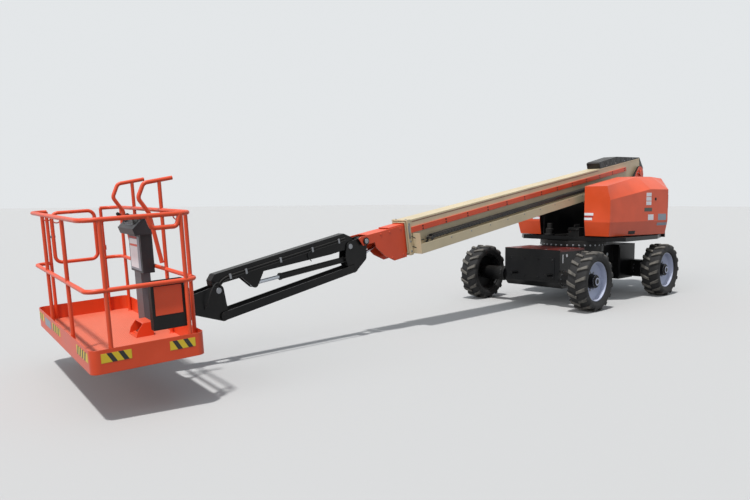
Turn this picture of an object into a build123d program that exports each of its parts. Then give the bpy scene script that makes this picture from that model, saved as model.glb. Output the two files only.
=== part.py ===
"""Self-propelled telescopic boom lift with a jib, parked with its boom down.

X runs forward along the boom towards the basket, Y to the machine's left, Z up.
All sizes are millimetres. Pieces are made about the centre of the slewing ring on the ground,
and the whole machine is moved at the end so that the origin is under the middle of its box.
"""
from build123d import *

from math import atan2, cos, degrees, hypot, pi, radians, sin, sqrt
import os

# Wheels and tyres
wheel_base = 2484
half_track = 1020
tyre_radius = 460
tyre_width = 320
lug_height = 30
lug_count = 16
lug_width = 46
lug_slant_deg = 24
bead_share = 0.72
rim_radius = 305
rim_wall = 14
rim_seat_gap = 0.3
hub_radius = 100
hub_reach = 90
hub_cap = 22
hub_face_depth = 120
carrier_radius = 104
carrier_length = 70
stub_radius = 38
stub_reach = 50

# Chassis
chassis_overhang = 58
chassis_length = wheel_base + 2 * chassis_overhang
chassis_width = 1040
chassis_floor = 290
chassis_top = 915
frame_bevel = 90
waist_setback = 560
waist_depth = 110
tower_rise = 10
tower_height = 100
tie_down_y = 330
tie_down_z = 500
tie_down_out = 48
tie_down_radius = 25
tie_down_plate = 30
axle_radius = 95
axle_flare = 20
kingpin_inset = 205
kingpin_radius = 35
kingpin_height = 300
fork_plate = 40
steer_beam_inset = 112
knuckle_thickness = 44
steer_arm = 170
arm_eye_radius = 30
steer_cylinder_length = 520
tie_rod_radius = 22
slew_ring_radius = 560
slew_ring_height = 95
running_gap = 0.05
body_gap = 6

# Turntable
deck_thickness = 70
deck_gap = 0.5
hood_front = 400
hood_rear = -1780
hood_inner = 430
hood_outer = 1120
hood_floor = 1100
hood_band = 1335
hood_crest = 2115
hood_undercut = 45
hood_front_half = 890
hood_front_shoulder = 1700
hood_front_roof = 1930
hood_rise_length = 1130
hood_waist_half = 1046
hood_shoulder = 1885
hood_eave = 800
hood_flare_length = 1670
hood_tail_half = 905
hood_wall = 8
hood_hinge_radius = 8
hood_hinge_drop = 30
hood_hinge_out = 14
hinge_half = 40
hinge_front_setback = 1330
hinge_rear_setback = 420
bulkhead_thickness = 12
engine_size = (900, 380, 560)
tank_size = (1100, 360, 420)
engine_setback = 530
deck_half_width = 1010
deck_nose_half = 800
deck_tail_half = 830
deck_corner = 320
upright_eye = 140
upright_foot = 1150
upright_toe = 10
upright_knee = (240, 490)
upright_setback = 50
upright_gap = 30
upright_plate = 25
tail_radius = 2460
counterweight_top = 1560
counterweight_half_width = 860

# Boom
boom_angle = 9.2
boom_pivot = (-2150, 2220)
boom_width = 260
boom_above_pivot = 280
boom_below_pivot = 170
boom_front = 6600
boom_rear = -110
boom_wall = 8
section_gap = 10
pad_gap = 1
pad_length = 120
mid_rear = 250
mid_step = 20
fly_rear = 500
fly_front = 6900
pivot_pin_radius = 45
nose_plate = 12
nose_top = 228
nose_tip = 7436
nose_drop = 48
nose_keel = -190
nose_cap_setback = 60
nose_washer_radius = 45
collar_length = 60
collar_plate = 10
rail_width = 20
rail_start = 490
rail_low = 110
rail_high = 183
tray_width = 140
tray_lip = 130
tray_wall = 8
tray_rear = 950
track_width = 90
track_depth = 46
track_rear = 1050
track_front = 6300
cover_top = 400
cover_front = 1475
cover_crest = 800
cover_gap = 0.3
cover_rear = -272
cover_rear_high = 67
cover_rear_low = 5
nose_pivot = (7330, 162)

# Lift cylinder, from the turntable to the boom's underside
lift_foot = (-2050, 1060)
lift_head = (1700, -250)
lift_barrel_radius = 75
lift_rod_radius = 50
lift_pin_radius = 30

# Level bracket and jib
level_pin_radius = 25
level_foot_pin = 14
gland_lip = 5
jib_pivot = (5330, 1150)
link_pivot = (5270, 880)
jib_angle = 11.4
jib_length = 1860
jib_width = 100
jib_wall = 7
jib_top = 175
jib_channel = 1560
jib_lug_middle = 1405
jib_pin_radius = 20
bracket_plate = 12
bar_thickness = 12
bar_depth = 90
jib_foot = (5356, 993)
jib_foot_eye = 46
jib_head = (6690, 812)
jib_barrel_radius = 36
jib_retract = 125
jib_rod_radius = 22
level_foot = (6664, 198)
level_head = (5110, 1005)
level_barrel_radius = 32
level_rod_radius = 18
level_retract = 285

# Platform support and rotator
platform_tilt = 3.7
platform_yaw = -9.25
rotator_place = (7500, 475)
rotator_radius = 85
rotator_height = 250
rotator_lift = 70
rotator_shaft = 40

# Platform
platform_depth = 903
platform_width = 2439
platform_setback = 264
platform_side_offset = 65
floor_thickness = 40
floor_sheet = 4
floor_bar = 50
toe_height = 190
toe_plate = 4
platform_corner = 70
rail_radius = 19
post_radius = 17
rear_opening = 800
hoop_places = (-430, 470)
hoop_foot = 700
hoop_rise = 264
hoop_knee = 141
hoop_lean = 115
hoop_reach = 200
hoop_back = 120
hoop_bend = 55
tray_setback = 105
tray_length = 270
tray_bottom = 255
gate_rear = 460
gate_front = 1000
console_width = 530
console_y = -35
mid_rail_height = 636
mid_rail_bend = 90
top_rail_height = 1177
top_rail_bend = 130
front_post_spread = 485
side_post_setback = 140
rear_post_setback = 160
rail_dip = 100
console_low = 580
console_chin = 950
console_brow = 1010
console_crest = 1125


def box(x0, x1, y0, y1, z0, z1):
    """A block given by its limits along each axis."""
    return Pos((x0 + x1) / 2, (y0 + y1) / 2, (z0 + z1) / 2) * Box(x1 - x0, y1 - y0, z1 - z0)


def plate_xz(points, y0, y1):
    """A flat plate: an outline in the XZ plane, thick from y0 to y1."""
    return extrude(Plane.XZ.offset(-y1) * Polygon(*points, align=None), y1 - y0, dir=(0, -1, 0))


def plate_xy(points, z0, z1):
    """A flat plate: an outline in plan, thick from z0 to z1."""
    return extrude(Plane.XY.offset(z0) * Polygon(*points, align=None), z1 - z0, dir=(0, 0, 1))


def plate_yz(points, x0, x1):
    """A flat plate: an outline in the YZ plane, thick from x0 to x1."""
    return extrude(Plane.YZ.offset(x0) * Polygon(*points, align=None), x1 - x0)


def pin_y(place, radius, y0, y1):
    """A round pin along Y through a place (x, z)."""
    x, z = place
    return Pos(x, (y0 + y1) / 2, z) * Rot(90, 0, 0) * Cylinder(radius, y1 - y0)


def eye_plate(discs, y0, y1):
    """A plate stretched like a belt round discs (x, z, radius)."""
    ring = Sketch() + [Pos(x, z) * Circle(r) for x, z, r in discs]
    return extrude(Plane.XZ.offset(-y1) * make_hull(ring.edges()), y1 - y0)


def both_sides(solid):
    """A piece and its mirror image across the machine's centre plane."""
    return [solid, mirror(solid, about=Plane.XZ)]


def boom_place():
    """Where the boom's own frame sits: X along the boom from its pivot, Z square to it."""
    return Pos(boom_pivot[0], 0, boom_pivot[1]) * Rot(0, boom_angle, 0)


def on_boom(point):
    """The machine's (x, z) of a point given in the boom's frame."""
    turn = radians(boom_angle)
    x, z = point
    return (boom_pivot[0] + x * cos(turn) + z * sin(turn),
            boom_pivot[1] - x * sin(turn) + z * cos(turn))


def cylinder_pair(foot, head, barrel_radius, rod_radius, barrel_share, eye_radius, foot_half, head_half,
                  pin_radius, retract=0):
    """A hydraulic cylinder from foot to head: its barrel, and its rod with room to retract."""
    length = hypot(head[0] - foot[0], head[1] - foot[1])
    slope = degrees(atan2(head[1] - foot[1], head[0] - foot[0]))
    place = Pos(foot[0], 0, foot[1]) * Rot(0, -slope, 0)
    barrel_end = length * barrel_share
    barrel_start = eye_radius * 0.8
    lay = Rot(0, 90, 0)
    barrel = pin_y((0, 0), eye_radius, -foot_half, foot_half)
    barrel += Pos((barrel_start + barrel_end) / 2, 0, 0) * lay * Cylinder(
        barrel_radius, barrel_end - barrel_start)
    gland = barrel_radius * 0.5
    barrel += Pos(barrel_end - gland / 2, 0, 0) * lay * Cylinder(barrel_radius + gland_lip, gland)
    barrel -= pin_y((0, 0), pin_radius + running_gap, -foot_half, foot_half)
    bore_start = barrel_radius + eye_radius
    barrel -= Pos((bore_start + barrel_end) / 2, 0, 0) * lay * Cylinder(
        rod_radius + running_gap, barrel_end - bore_start + 1)
    rod_start = bore_start + body_gap + retract
    rod = Pos((rod_start + length) / 2, 0, 0) * lay * Cylinder(rod_radius, length - rod_start)
    rod += pin_y((length, 0), eye_radius, -head_half, head_half)
    return place * barrel, place * rod


def tyre_loft(stations):
    """A ring of flats, two for each pair of lugs, lofted through stations (y, radius)."""
    return loft([Plane.XZ.offset(-y) * RegularPolygon(radius, 2 * lug_count) for y, radius in stations],
                ruled=True)


def tyre():
    """Tyre in its own frame, axle along Y, with two rows of slanted lugs that meet in a chevron."""
    half = tyre_width / 2
    tread = tyre_radius - lug_height
    wall, bead = tread * 0.88, half * bead_share
    bore = rim_radius / cos(pi / (2 * lug_count))
    carcass = tyre_loft([(-half, wall), (-half * 0.84, tread), (half * 0.84, tread), (half, wall)])
    carcass -= tyre_loft([(-half, bore), (half, bore)])
    for side in (-1, 1):
        carcass -= tyre_loft(sorted([(side * bead, bore), (side * half, wall * 0.98)]))
    step = 360 / lug_count
    lug_length = half * 0.95
    slant = radians(lug_slant_deg)
    spread = (lug_length * sin(slant) + lug_width * cos(slant)) / 2
    top = sqrt(tyre_radius ** 2 - spread ** 2)
    depth = lug_height * 1.6
    lead = degrees(atan2(spread, top))
    lugs = []
    for row, side in enumerate((-1, 1)):
        block = Pos(0, side * half / 2, top - depth / 2) * Rot(0, 0, side * lug_slant_deg) * Box(
            lug_width, lug_length, depth)
        lugs += [Rot(0, step * (index + row / 2) + lead, 0) * block for index in range(lug_count)]
    return carcass + lugs


def rim(side):
    """Deep-dished wheel with its drive hub, axle along Y, open face towards the given side."""
    half = tyre_width / 2 * bead_share
    outer, inner = rim_radius - rim_seat_gap, rim_radius - rim_wall
    dish = half - hub_face_depth
    face = dish + rim_wall
    profile = Polyline((outer, -half), (outer, half), (inner, half), (inner - rim_wall, face + rim_wall * 2),
                       (hub_radius + 60, face), (0, face), (0, dish), (inner - rim_wall, dish), (inner, -half),
                       close=True)
    wheel = revolve(make_face(profile), Axis.Y)
    wheel += pin_y((0, 0), hub_radius, face - 1, face + hub_reach)
    wheel += pin_y((0, 0), hub_radius * 0.6, face + hub_reach - 1, face + hub_reach + hub_cap)
    wheel -= pin_y((0, 0), stub_radius + running_gap, dish - 1, dish + stub_reach + body_gap)
    return wheel if side > 0 else mirror(wheel, about=Plane.XZ)


wheel_places = (("front_left", 1, 1), ("front_right", 1, -1), ("rear_left", -1, 1), ("rear_right", -1, -1))
kingpin_y = half_track - kingpin_inset
hub_back = half_track + tyre_width / 2 * 0.72 - hub_face_depth - body_gap
axle_x = wheel_base / 2
deck_floor = chassis_top + slew_ring_height + deck_gap
deck_top = deck_floor + deck_thickness


def tie_down_lug():
    """Flat ear out of the frame's end, with an upright hole for a shackle."""
    x = chassis_length / 2
    far = x + tie_down_out + tie_down_radius * 2
    ear = plate_xy([(x - 1, tie_down_y - tie_down_radius * 3), (x - 1, tie_down_y + tie_down_radius * 3),
                    (far, tie_down_y + tie_down_radius), (far, tie_down_y - tie_down_radius)],
                   tie_down_z - tie_down_plate / 2, tie_down_z + tie_down_plate / 2)
    return ear - Pos(x + tie_down_out, tie_down_y, tie_down_z) * Cylinder(tie_down_radius, tie_down_plate)


def chassis_frame():
    """Welded box frame: a deep box between the wheels with sloped ends and a round tower."""
    half_length, half_width = chassis_length / 2, chassis_width / 2
    frame = plate_xz([(-half_length, chassis_floor + frame_bevel), (-half_length + frame_bevel, chassis_floor),
                      (half_length - frame_bevel, chassis_floor), (half_length, chassis_floor + frame_bevel),
                      (half_length, chassis_top - tower_rise), (-half_length, chassis_top - tower_rise)],
                     -half_width, half_width)
    waist_end = axle_x - waist_setback
    waist = box(-waist_end, waist_end, half_width - waist_depth, half_width, chassis_floor, chassis_top)
    frame -= both_sides(waist)
    frame += Pos(0, 0, chassis_top) * Cylinder(slew_ring_radius - 40, tower_height,
                                               align=(Align.CENTER, Align.CENTER, Align.MAX))
    ear = tie_down_lug()
    return frame + [ear, mirror(ear, about=Plane.XZ), mirror(ear, about=Plane.YZ),
                    mirror(mirror(ear, about=Plane.XZ), about=Plane.YZ)]


def drive_axle():
    """Fixed axle beam with the hub carriers of the driven wheels."""
    half_width = chassis_width / 2
    parts = []
    for side in (-1, 1):
        inner, outer = sorted((side * half_width, side * (hub_back - carrier_length)))
        parts.append(pin_y((axle_x, tyre_radius), axle_radius + axle_flare, inner, outer))
        inner, outer = sorted((side * (hub_back - carrier_length), side * hub_back))
        parts.append(pin_y((axle_x, tyre_radius), carrier_radius, inner, outer) + stub(axle_x, side))
    return parts


def stub(x, side):
    """The axle's end that a wheel turns on, from the carrier's face into the wheel's bore."""
    inner, outer = sorted((side * (hub_back - 10), side * (hub_back + body_gap + stub_reach)))
    return pin_y((x, tyre_radius), stub_radius, inner, outer)


def steer_axle():
    """Steering axle beam with a fork at each end that holds its knuckle's kingpin."""
    half_width = chassis_width / 2
    half_fork = kingpin_height / 2
    parts = []
    for side in (-1, 1):
        beam_end = kingpin_y - steer_beam_inset
        inner, outer = sorted((side * half_width, side * beam_end))
        arm = box(-axle_x - 90, -axle_x + 90, inner, outer, tyre_radius - half_fork, tyre_radius + half_fork)
        inner, outer = sorted((side * beam_end, side * (kingpin_y + 45)))
        for low in (-half_fork, half_fork - fork_plate):
            arm += box(-axle_x - 55, -axle_x + 55, inner, outer, tyre_radius + low, tyre_radius + low + fork_plate)
        arm += Pos(-axle_x, side * kingpin_y, tyre_radius) * Cylinder(kingpin_radius, kingpin_height)
        parts.append(arm)
    return parts


def knuckle(side):
    """Steered knuckle: a barrel round the kingpin, the hub's carrier and the steering arm."""
    height = kingpin_height - 2 * fork_plate - 2 * body_gap
    arm_drop = height / 2 - knuckle_thickness / 2
    body = Pos(-axle_x, side * kingpin_y, tyre_radius) * Cylinder(kingpin_radius + 32, height)
    inner, outer = sorted((side * (kingpin_y + 30), side * hub_back))
    body += pin_y((-axle_x, tyre_radius), carrier_radius, inner, outer) + stub(-axle_x, side)
    body += Pos(-axle_x - steer_arm / 2, side * kingpin_y, tyre_radius - arm_drop) * Box(
        steer_arm, 2 * arm_eye_radius, knuckle_thickness)
    body += Pos(-axle_x - steer_arm, side * kingpin_y, tyre_radius - arm_drop) * Cylinder(
        arm_eye_radius, knuckle_thickness)
    body -= Pos(-axle_x, side * kingpin_y, tyre_radius) * Cylinder(kingpin_radius + running_gap, height)
    return body


tie_rod_height = tyre_radius - kingpin_height / 2 + fork_plate - tie_rod_radius


def tie_rod():
    """Rod across the steering axle, under the ends of the two steering arms."""
    return pin_y((-axle_x - steer_arm, tie_rod_height), tie_rod_radius, -kingpin_y - 20, kingpin_y + 20)


def steer_cylinder():
    """Steering cylinder on the frame's end, with the tie rod as its rod through both ends."""
    x = -axle_x - steer_arm
    wall = 18
    half = steer_cylinder_length / 2
    barrel = pin_y((x, tie_rod_height), tie_rod_radius + wall, -half, half)
    face = -chassis_length / 2
    foot = half / 4
    barrel += box(x, face, -foot, foot, tie_rod_height + wall / 2, tie_rod_height + wall * 2)
    barrel += box(face - wall, face, -foot, foot, tie_rod_height + wall / 2, tie_down_z - 50)
    return barrel - pin_y((x, tie_rod_height), tie_rod_radius + running_gap, -half, half)


def slew_ring():
    """Slewing bearing between the chassis and the turntable."""
    ring = Pos(0, 0, chassis_top + slew_ring_height / 2) * Cylinder(slew_ring_radius, slew_ring_height)
    return ring - Pos(0, 0, chassis_top + slew_ring_height / 2) * Cylinder(
        slew_ring_radius - 90, slew_ring_height)


def pin_x(x0, x1, y, z, radius):
    """A round pin along X."""
    return Pos((x0 + x1) / 2, y, z) * Rot(0, 90, 0) * Cylinder(radius, x1 - x0)


hinge_places = (hood_rear + hinge_rear_setback, hood_front - hinge_front_setback)


def hood_section(x, width, shoulder, eave, roof, inset):
    """The hood's cross-section at one place along it, shrunk by inset, open inwards and below."""
    inner = hood_inner - (1 if inset else 0)
    floor = hood_floor - (1 if inset else 0)
    outer = width - inset
    points = [(inner, floor), (outer - hood_undercut, floor), (outer, hood_band), (outer, shoulder - inset / 2),
              (eave - inset / 2, roof - inset), (inner, roof - inset)]
    return Plane.YZ.offset(x) * Polygon(*points, align=None)


def hood_outline(inset):
    """Faceted hood block: flaring backwards, with a bevelled shoulder that grows towards its rear."""
    front, rear = hood_front - inset, hood_rear + inset
    block = loft([hood_section(front, hood_front_half, hood_front_shoulder, hood_front_half - 60,
                               hood_front_roof, inset),
                  hood_section(hood_front - hood_rise_length, hood_waist_half, hood_shoulder, hood_eave,
                               hood_crest - 8, inset),
                  hood_section(hood_front - hood_flare_length, hood_outer, hood_shoulder, hood_eave,
                               hood_crest, inset),
                  hood_section(rear, hood_tail_half, hood_shoulder, hood_eave - 30, hood_crest - 20, inset)],
                 ruled=True)
    side = plate_xz([(front - hood_undercut, hood_floor - 2), (front, hood_band), (front, hood_crest + 1),
                     (rear + 20, hood_crest + 1), (rear, hood_crest - 200), (rear, hood_band),
                     (rear + hood_undercut * 1.5, hood_floor - 2)], hood_inner - 2, hood_outer + 1)
    return block & side


def hood(side):
    """Hinged engine or tank cover: an open-bottomed shell, also open towards the boom."""
    shell = hood_outline(0) - hood_outline(hood_wall)
    axis_y, axis_z = hood_inner - hood_hinge_out, hood_crest - hood_hinge_drop
    roof = hood_crest - hood_wall
    for x in hinge_places:
        eye = pin_x(x - hinge_half, x + hinge_half, axis_y, axis_z, hood_hinge_radius + 6)
        eye += box(x - hinge_half, x + hinge_half, axis_y, hood_inner + 50, axis_z + 5, axis_z + 13)
        eye += box(x - hinge_half, x + hinge_half, hood_inner + 20, hood_inner + 50, axis_z + 5, roof + 1)
        shell += eye
        shell -= pin_x(x - hinge_half, x + hinge_half, axis_y, axis_z, hood_hinge_radius + running_gap)
    return shell if side > 0 else mirror(shell, about=Plane.XZ)


def bulkhead():
    """Upright panel on the deck beside the boom, with the pin that a hood hinges on."""
    y1 = hood_inner - hood_hinge_out - hood_hinge_radius - 8
    y0 = y1 - bulkhead_thickness
    axis_y, axis_z = hood_inner - hood_hinge_out, hood_crest - hood_hinge_drop
    low_edge = axis_z - 28
    panel = plate_xz([(hood_rear + 60, deck_top - 5), (hood_front - 80, deck_top - 5),
                      (hood_front - 80, hood_front_roof - 65), (hood_front - hood_rise_length, low_edge),
                      (hood_rear + 330, low_edge), (hood_rear + 90, hood_crest - 300)], y0, y1)
    low, high = hinge_places[0] - 90, hinge_places[1] + 90
    panel += pin_x(low, high, axis_y, axis_z, hood_hinge_radius)
    for x in (low, high):
        panel += box(x - 8, x + 8, y0, axis_y + 10, low_edge - 30, axis_z + 10)
    return panel


def engine_and_tanks():
    """The engine as one plain block inside the left hood, and the tanks inside the right one."""
    y = hood_inner + 70
    start = hood_rear + engine_setback
    length, width, height = engine_size
    engine = box(start, start + length, y, y + width, deck_top, deck_top + height)
    length, width, height = tank_size
    tank = box(start, start + length, -y - width, -y, deck_top, deck_top + height)
    return engine, tank


def turntable_frame():
    """Turntable: a thick deck, two uprights that carry the boom and a front bulkhead."""
    nose, tail = hood_front - 60, hood_rear + 80
    deck = plate_xy([(nose, -deck_nose_half), (nose, deck_nose_half), (hood_front - deck_corner, deck_half_width),
                     (hood_rear + 2 * deck_corner, deck_half_width), (tail, deck_tail_half),
                     (tail, -deck_tail_half), (hood_rear + 2 * deck_corner, -deck_half_width),
                     (hood_front - deck_corner, -deck_half_width)], deck_floor, deck_top)
    inner = boom_width / 2 + upright_gap
    foot_rear, foot_front = -tail_radius + upright_setback, boom_pivot[0] + upright_foot
    sole = deck_floor + 2 * upright_toe
    knee = (foot_front - upright_knee[0], deck_floor + upright_knee[1])
    upright = eye_plate([(*boom_pivot, upright_eye), (foot_rear, sole, upright_toe),
                         (foot_front, sole, upright_toe), (*knee, upright_toe)], inner, inner + upright_plate)
    frame = deck + both_sides(upright)
    lug_inner = lift_barrel_radius + 9
    lug_outer = lug_inner + upright_plate
    lug = eye_plate([(lift_foot[0], lift_foot[1], 70), (lift_foot[0] + 120, deck_floor + 35, 34),
                     (lift_foot[0] - 120, deck_floor + 35, 34)], lug_inner, lug_outer)
    frame += both_sides(lug)
    frame += both_sides(bulkhead())
    frame += box(lift_foot[0] - 260, hood_rear + 200, -inner, inner, deck_floor, deck_floor + 40)
    frame -= box(lift_foot[0] - 80, lift_foot[0] + 190, -lug_inner, lug_inner, deck_floor, deck_floor + 40)
    frame += pin_y(lift_foot, lift_pin_radius, -lug_outer, lug_outer)
    end = inner + upright_plate + 20
    return frame + pin_y(boom_pivot, pivot_pin_radius, -end, end)


def counterweight():
    """Cast counterweight round the tail, with a gap in the middle for the boom's rear end."""
    inner = boom_width / 2 + upright_gap + upright_plate
    half, front = counterweight_half_width, hood_rear - 15
    block = plate_xy([(front, inner), (front, half), (-tail_radius + 170, half - 240),
                      (-tail_radius + 40, half - 480), (-tail_radius, inner)], deck_floor, counterweight_top)
    bevel = plate_yz([(half - 120, counterweight_top + 1), (half + 1, counterweight_top + 1),
                      (half + 1, counterweight_top - 120)], -tail_radius, front)
    block -= bevel
    return both_sides(block) + [box(-tail_radius, -tail_radius + 30, -inner, inner, deck_floor,
                                    counterweight_top - 200)]


def hollow_beam(x0, x1, half_width, z0, z1, wall):
    """A rectangular tube along the boom, open at both ends."""
    return box(x0, x1, -half_width, half_width, z0, z1) - box(
        x0, x1, -half_width + wall, half_width - wall, z0 + wall, z1 - wall)


def wear_pads(x0, half_width, z0, z1):
    """A ring of pads round an inner section's rear end, sliding in the section outside it."""
    reach = section_gap - pad_gap
    return hollow_beam(x0, x0 + pad_length, half_width + reach, z0 - reach, z1 + reach, reach + 1)


def boom_sections():
    """Base, middle and fly sections of the boom, each nested in the one before."""
    half = boom_width / 2
    low, high = -boom_below_pivot, boom_above_pivot
    base = hollow_beam(boom_rear, boom_front, half, low, high, boom_wall)
    base -= pin_y((0, 0), pivot_pin_radius + running_gap, -half, half)
    boss = half + upright_gap - body_gap
    head = pin_y((0, 0), pivot_pin_radius + 40, -boss, boss)
    base += head - pin_y((0, 0), pivot_pin_radius + running_gap, -boss, boss)
    lug = eye_plate([(lift_head[0], lift_head[1], 60), (lift_head[0] - 170, low + 1, 5),
                     (lift_head[0] + 170, low + 1, 5)], 56, 76)
    base += both_sides(lug)
    collar = hollow_beam(boom_front - collar_length, boom_front, half + collar_plate, low - collar_plate,
                         high + collar_plate, collar_plate + 1)
    base += collar
    step = boom_wall + section_gap
    half, low, high = half - step, low + step, high - step
    mid = hollow_beam(mid_rear, boom_front + mid_step, half, low, high, boom_wall)
    mid += wear_pads(mid_rear, half, low, high)
    half, low, high = half - step, low + step, high - step
    fly = hollow_beam(fly_rear, fly_front, half, low, high, boom_wall)
    fly += wear_pads(fly_rear, half, low, high)
    start = boom_front + mid_step + 20
    x, z = nose_pivot
    outline = [(start, nose_top), (nose_tip - 40, nose_top), (nose_tip, nose_top - 18), (x + 50, z - nose_drop),
               (x - 150, z - nose_drop), (x - 165, z - 116), (x - 300, z - 256), (x - 460, nose_keel),
               (start, nose_keel)]
    plate = plate_xz(outline, half, half + nose_plate)
    plate -= pin_y(nose_pivot, level_pin_radius + running_gap, half, half + nose_plate)
    fly += both_sides(plate)
    fly += box(fly_front - 5, x - nose_cap_setback, -half - 1, half + 1, nose_top - boom_wall, nose_top)
    fly += pin_y(level_foot, level_foot_pin, -half, half)
    return [boom_place() * piece for piece in (base, mid, fly)]


def boom_trim():
    """On the boom: the side rail, the hose tray with its power track, and the rear cover."""
    half = boom_width / 2
    low = -boom_below_pivot
    rail_end = boom_front - collar_length
    rail_bar = box(rail_start, rail_end, half, half + rail_width, rail_low, rail_high)
    tray_end = rail_end - 20
    tray = box(tray_rear, tray_end, half, half + tray_width, low, low + tray_wall)
    tray += box(tray_rear, tray_end, half + tray_width - tray_wall, half + tray_width, low, low + tray_lip)
    tray += box(tray_end - tray_wall, tray_end, half, half + tray_width, low, rail_low - 10)
    y0 = half + (tray_width - tray_wall - track_width) / 2
    base, top = low + tray_wall + 0.3, low + tray_lip + 70
    radius = (top - base) / 2
    outer = box(track_rear, track_front - radius, y0, y0 + track_width, base, top)
    outer += pin_y((track_front - radius, base + radius), radius, y0, y0 + track_width)
    inner = box(track_rear - 1, track_front - radius, y0, y0 + track_width, base + track_depth, top - track_depth)
    inner += pin_y((track_front - radius, base + radius), radius - track_depth, y0, y0 + track_width)
    seat = boom_above_pivot + cover_gap
    end = boom_rear - cover_gap
    cover = plate_xz([(cover_front - 35, seat), (cover_front - 10, cover_top - 18), (cover_front - 60, cover_top),
                      (cover_crest, cover_top + 20), (boom_rear - 20, seat + 14), (cover_rear, cover_rear_high),
                      (cover_rear + 130, cover_rear_low), (end, cover_rear_low), (end, seat)],
                     -half + 2, half - 2)
    return [boom_place() * piece for piece in (rail_bar, tray, outer - inner, cover)]


def level_bracket():
    """Bracket at the boom's nose that stays level: it carries the jib, its link and its cylinder."""
    nose = on_boom(nose_pivot)
    inner = jib_width / 2 + body_gap
    outer = inner + bracket_plate
    cheek = eye_plate([(nose[0], nose[1], 55), (jib_pivot[0], jib_pivot[1], 60),
                       (link_pivot[0], link_pivot[1], 55), (level_head[0], level_head[1], 45),
                       (jib_foot[0], jib_foot[1], jib_foot_eye)], inner, outer)
    fly_half = boom_width / 2 - 2 * (boom_wall + section_gap)
    hub_end = fly_half - 3
    plate_out = fly_half + nose_plate + pad_gap
    bracket = pin_y(nose, 45, -hub_end, hub_end) + both_sides(cheek)
    bracket += pin_y(nose, level_pin_radius, -plate_out, plate_out)
    bracket += both_sides(pin_y(nose, nose_washer_radius, plate_out, plate_out + bracket_plate))
    bracket += pin_y(jib_pivot, jib_pin_radius, -outer, outer)
    link_end = outer + bar_thickness + 10
    bracket += pin_y(link_pivot, jib_pin_radius, -link_end, link_end)
    return bracket + pin_y(jib_foot, jib_pin_radius, -outer, outer)


def jib_point(pivot, along, up=0.0):
    """A point on the jib: along it from a pivot and up square to it."""
    turn = radians(jib_angle)
    return (pivot[0] + along * cos(turn) + up * sin(turn), pivot[1] - along * sin(turn) + up * cos(turn))


jib_tip = jib_point(jib_pivot, jib_length)
link_tip = jib_point(link_pivot, jib_length)


def jib_arm():
    """The jib's main arm: a tapered beam, open below so that the cylinder can swing into it."""
    half = jib_width / 2
    place = Pos(jib_pivot[0], 0, jib_pivot[1]) * Rot(0, jib_angle, 0)
    beam = plate_xz([(-60, -30), (60, -30), (110, -22), (300, -22), (jib_lug_middle, 53), (jib_length - 60, 60),
                     (jib_length, -58), (jib_length + 55, 0), (jib_length + 55, 120), (jib_length, jib_top),
                     (60, jib_top), (-60, 100)], -half, half)
    beam -= box(-61, jib_channel, -half + jib_wall, half - jib_wall, -61, jib_top - jib_wall)
    arm = place * beam
    for pivot in (jib_pivot, jib_tip):
        arm -= pin_y(pivot, jib_pin_radius + running_gap, -half, half)
    rear, front = jib_point(jib_pivot, jib_lug_middle - 150, 70), jib_point(jib_pivot, jib_lug_middle + 150, 70)
    lug = eye_plate([(jib_head[0], jib_head[1], 42), (rear[0], rear[1], 8), (front[0], front[1], 8)],
                    28, half - jib_wall + 1)
    return arm + both_sides(lug)


def lower_link():
    """Two flat bars under the jib that keep the basket level."""
    inner = jib_width / 2 + body_gap + bracket_plate + body_gap + 2
    bar = eye_plate([(link_pivot[0], link_pivot[1], bar_depth / 2), (link_tip[0], link_tip[1], bar_depth / 2)],
                    inner, inner + bar_thickness)
    for pivot in (link_pivot, link_tip):
        bar -= pin_y(pivot, jib_pin_radius + running_gap, inner, inner + bar_thickness)
    return both_sides(bar)


def support_place():
    """The tilted frame of the platform's support, with the rotator's axis as its Z."""
    return Pos(rotator_place[0], 0, rotator_place[1]) * Rot(0, platform_tilt, 0)


def platform_support():
    """Casting at the jib's tip: two cheeks round both pins and the rotator's housing."""
    inner = jib_width / 2 + body_gap
    outer = inner + bracket_plate
    face = rotator_place[0] - rotator_radius + 20
    cheek = eye_plate([(jib_tip[0], jib_tip[1], 60), (link_tip[0], link_tip[1], 55), (face, 590, 30),
                       (face, 740, 30)], inner, outer)
    support = support_place() * Pos(0, 0, rotator_lift + rotator_height / 2) * Cylinder(
        rotator_radius, rotator_height)
    support += both_sides(cheek)
    support -= support_place() * Pos(0, 0, rotator_lift + rotator_height / 2) * Cylinder(
        rotator_shaft + running_gap, rotator_height)
    support += box(jib_tip[0] + 200, face + 30, -outer, outer, 570, 760)
    support += pin_y(jib_tip, jib_pin_radius, -outer, outer)
    support += pin_y(link_tip, jib_pin_radius, -outer - bar_thickness - 10, outer + bar_thickness + 10)
    return support


def platform_place():
    """The platform's frame: X out of its front, Z up along the rotator's axis, origin on that axis."""
    return support_place() * Rot(0, 0, platform_yaw)


plat_rear = platform_setback
plat_front = platform_setback + platform_depth
plat_left = platform_side_offset + platform_width / 2
plat_right = platform_side_offset - platform_width / 2


def platform_mount():
    """Yoke that grips the rotator above and below and carries the platform's floor."""
    front = plat_rear - body_gap / 20
    low = rotator_lift - body_gap - 24
    top = rotator_lift + rotator_height + body_gap
    yoke = Cylinder(rotator_radius, 24, align=(Align.CENTER, Align.CENTER, Align.MIN))
    mount = Pos(0, 0, low) * yoke + Pos(0, 0, top) * yoke
    mount += Pos(0, 0, low) * Cylinder(rotator_shaft, top - low + 24, align=(Align.CENTER, Align.CENTER, Align.MIN))
    mount += box(0, front, -rotator_radius, rotator_radius, low, low + 24)
    mount += box(0, front, -rotator_radius, rotator_radius, top, top + 24)
    mount += box(rotator_radius + body_gap + 20, front, -rotator_radius, rotator_radius, 0, top + 24)
    return mount


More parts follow.
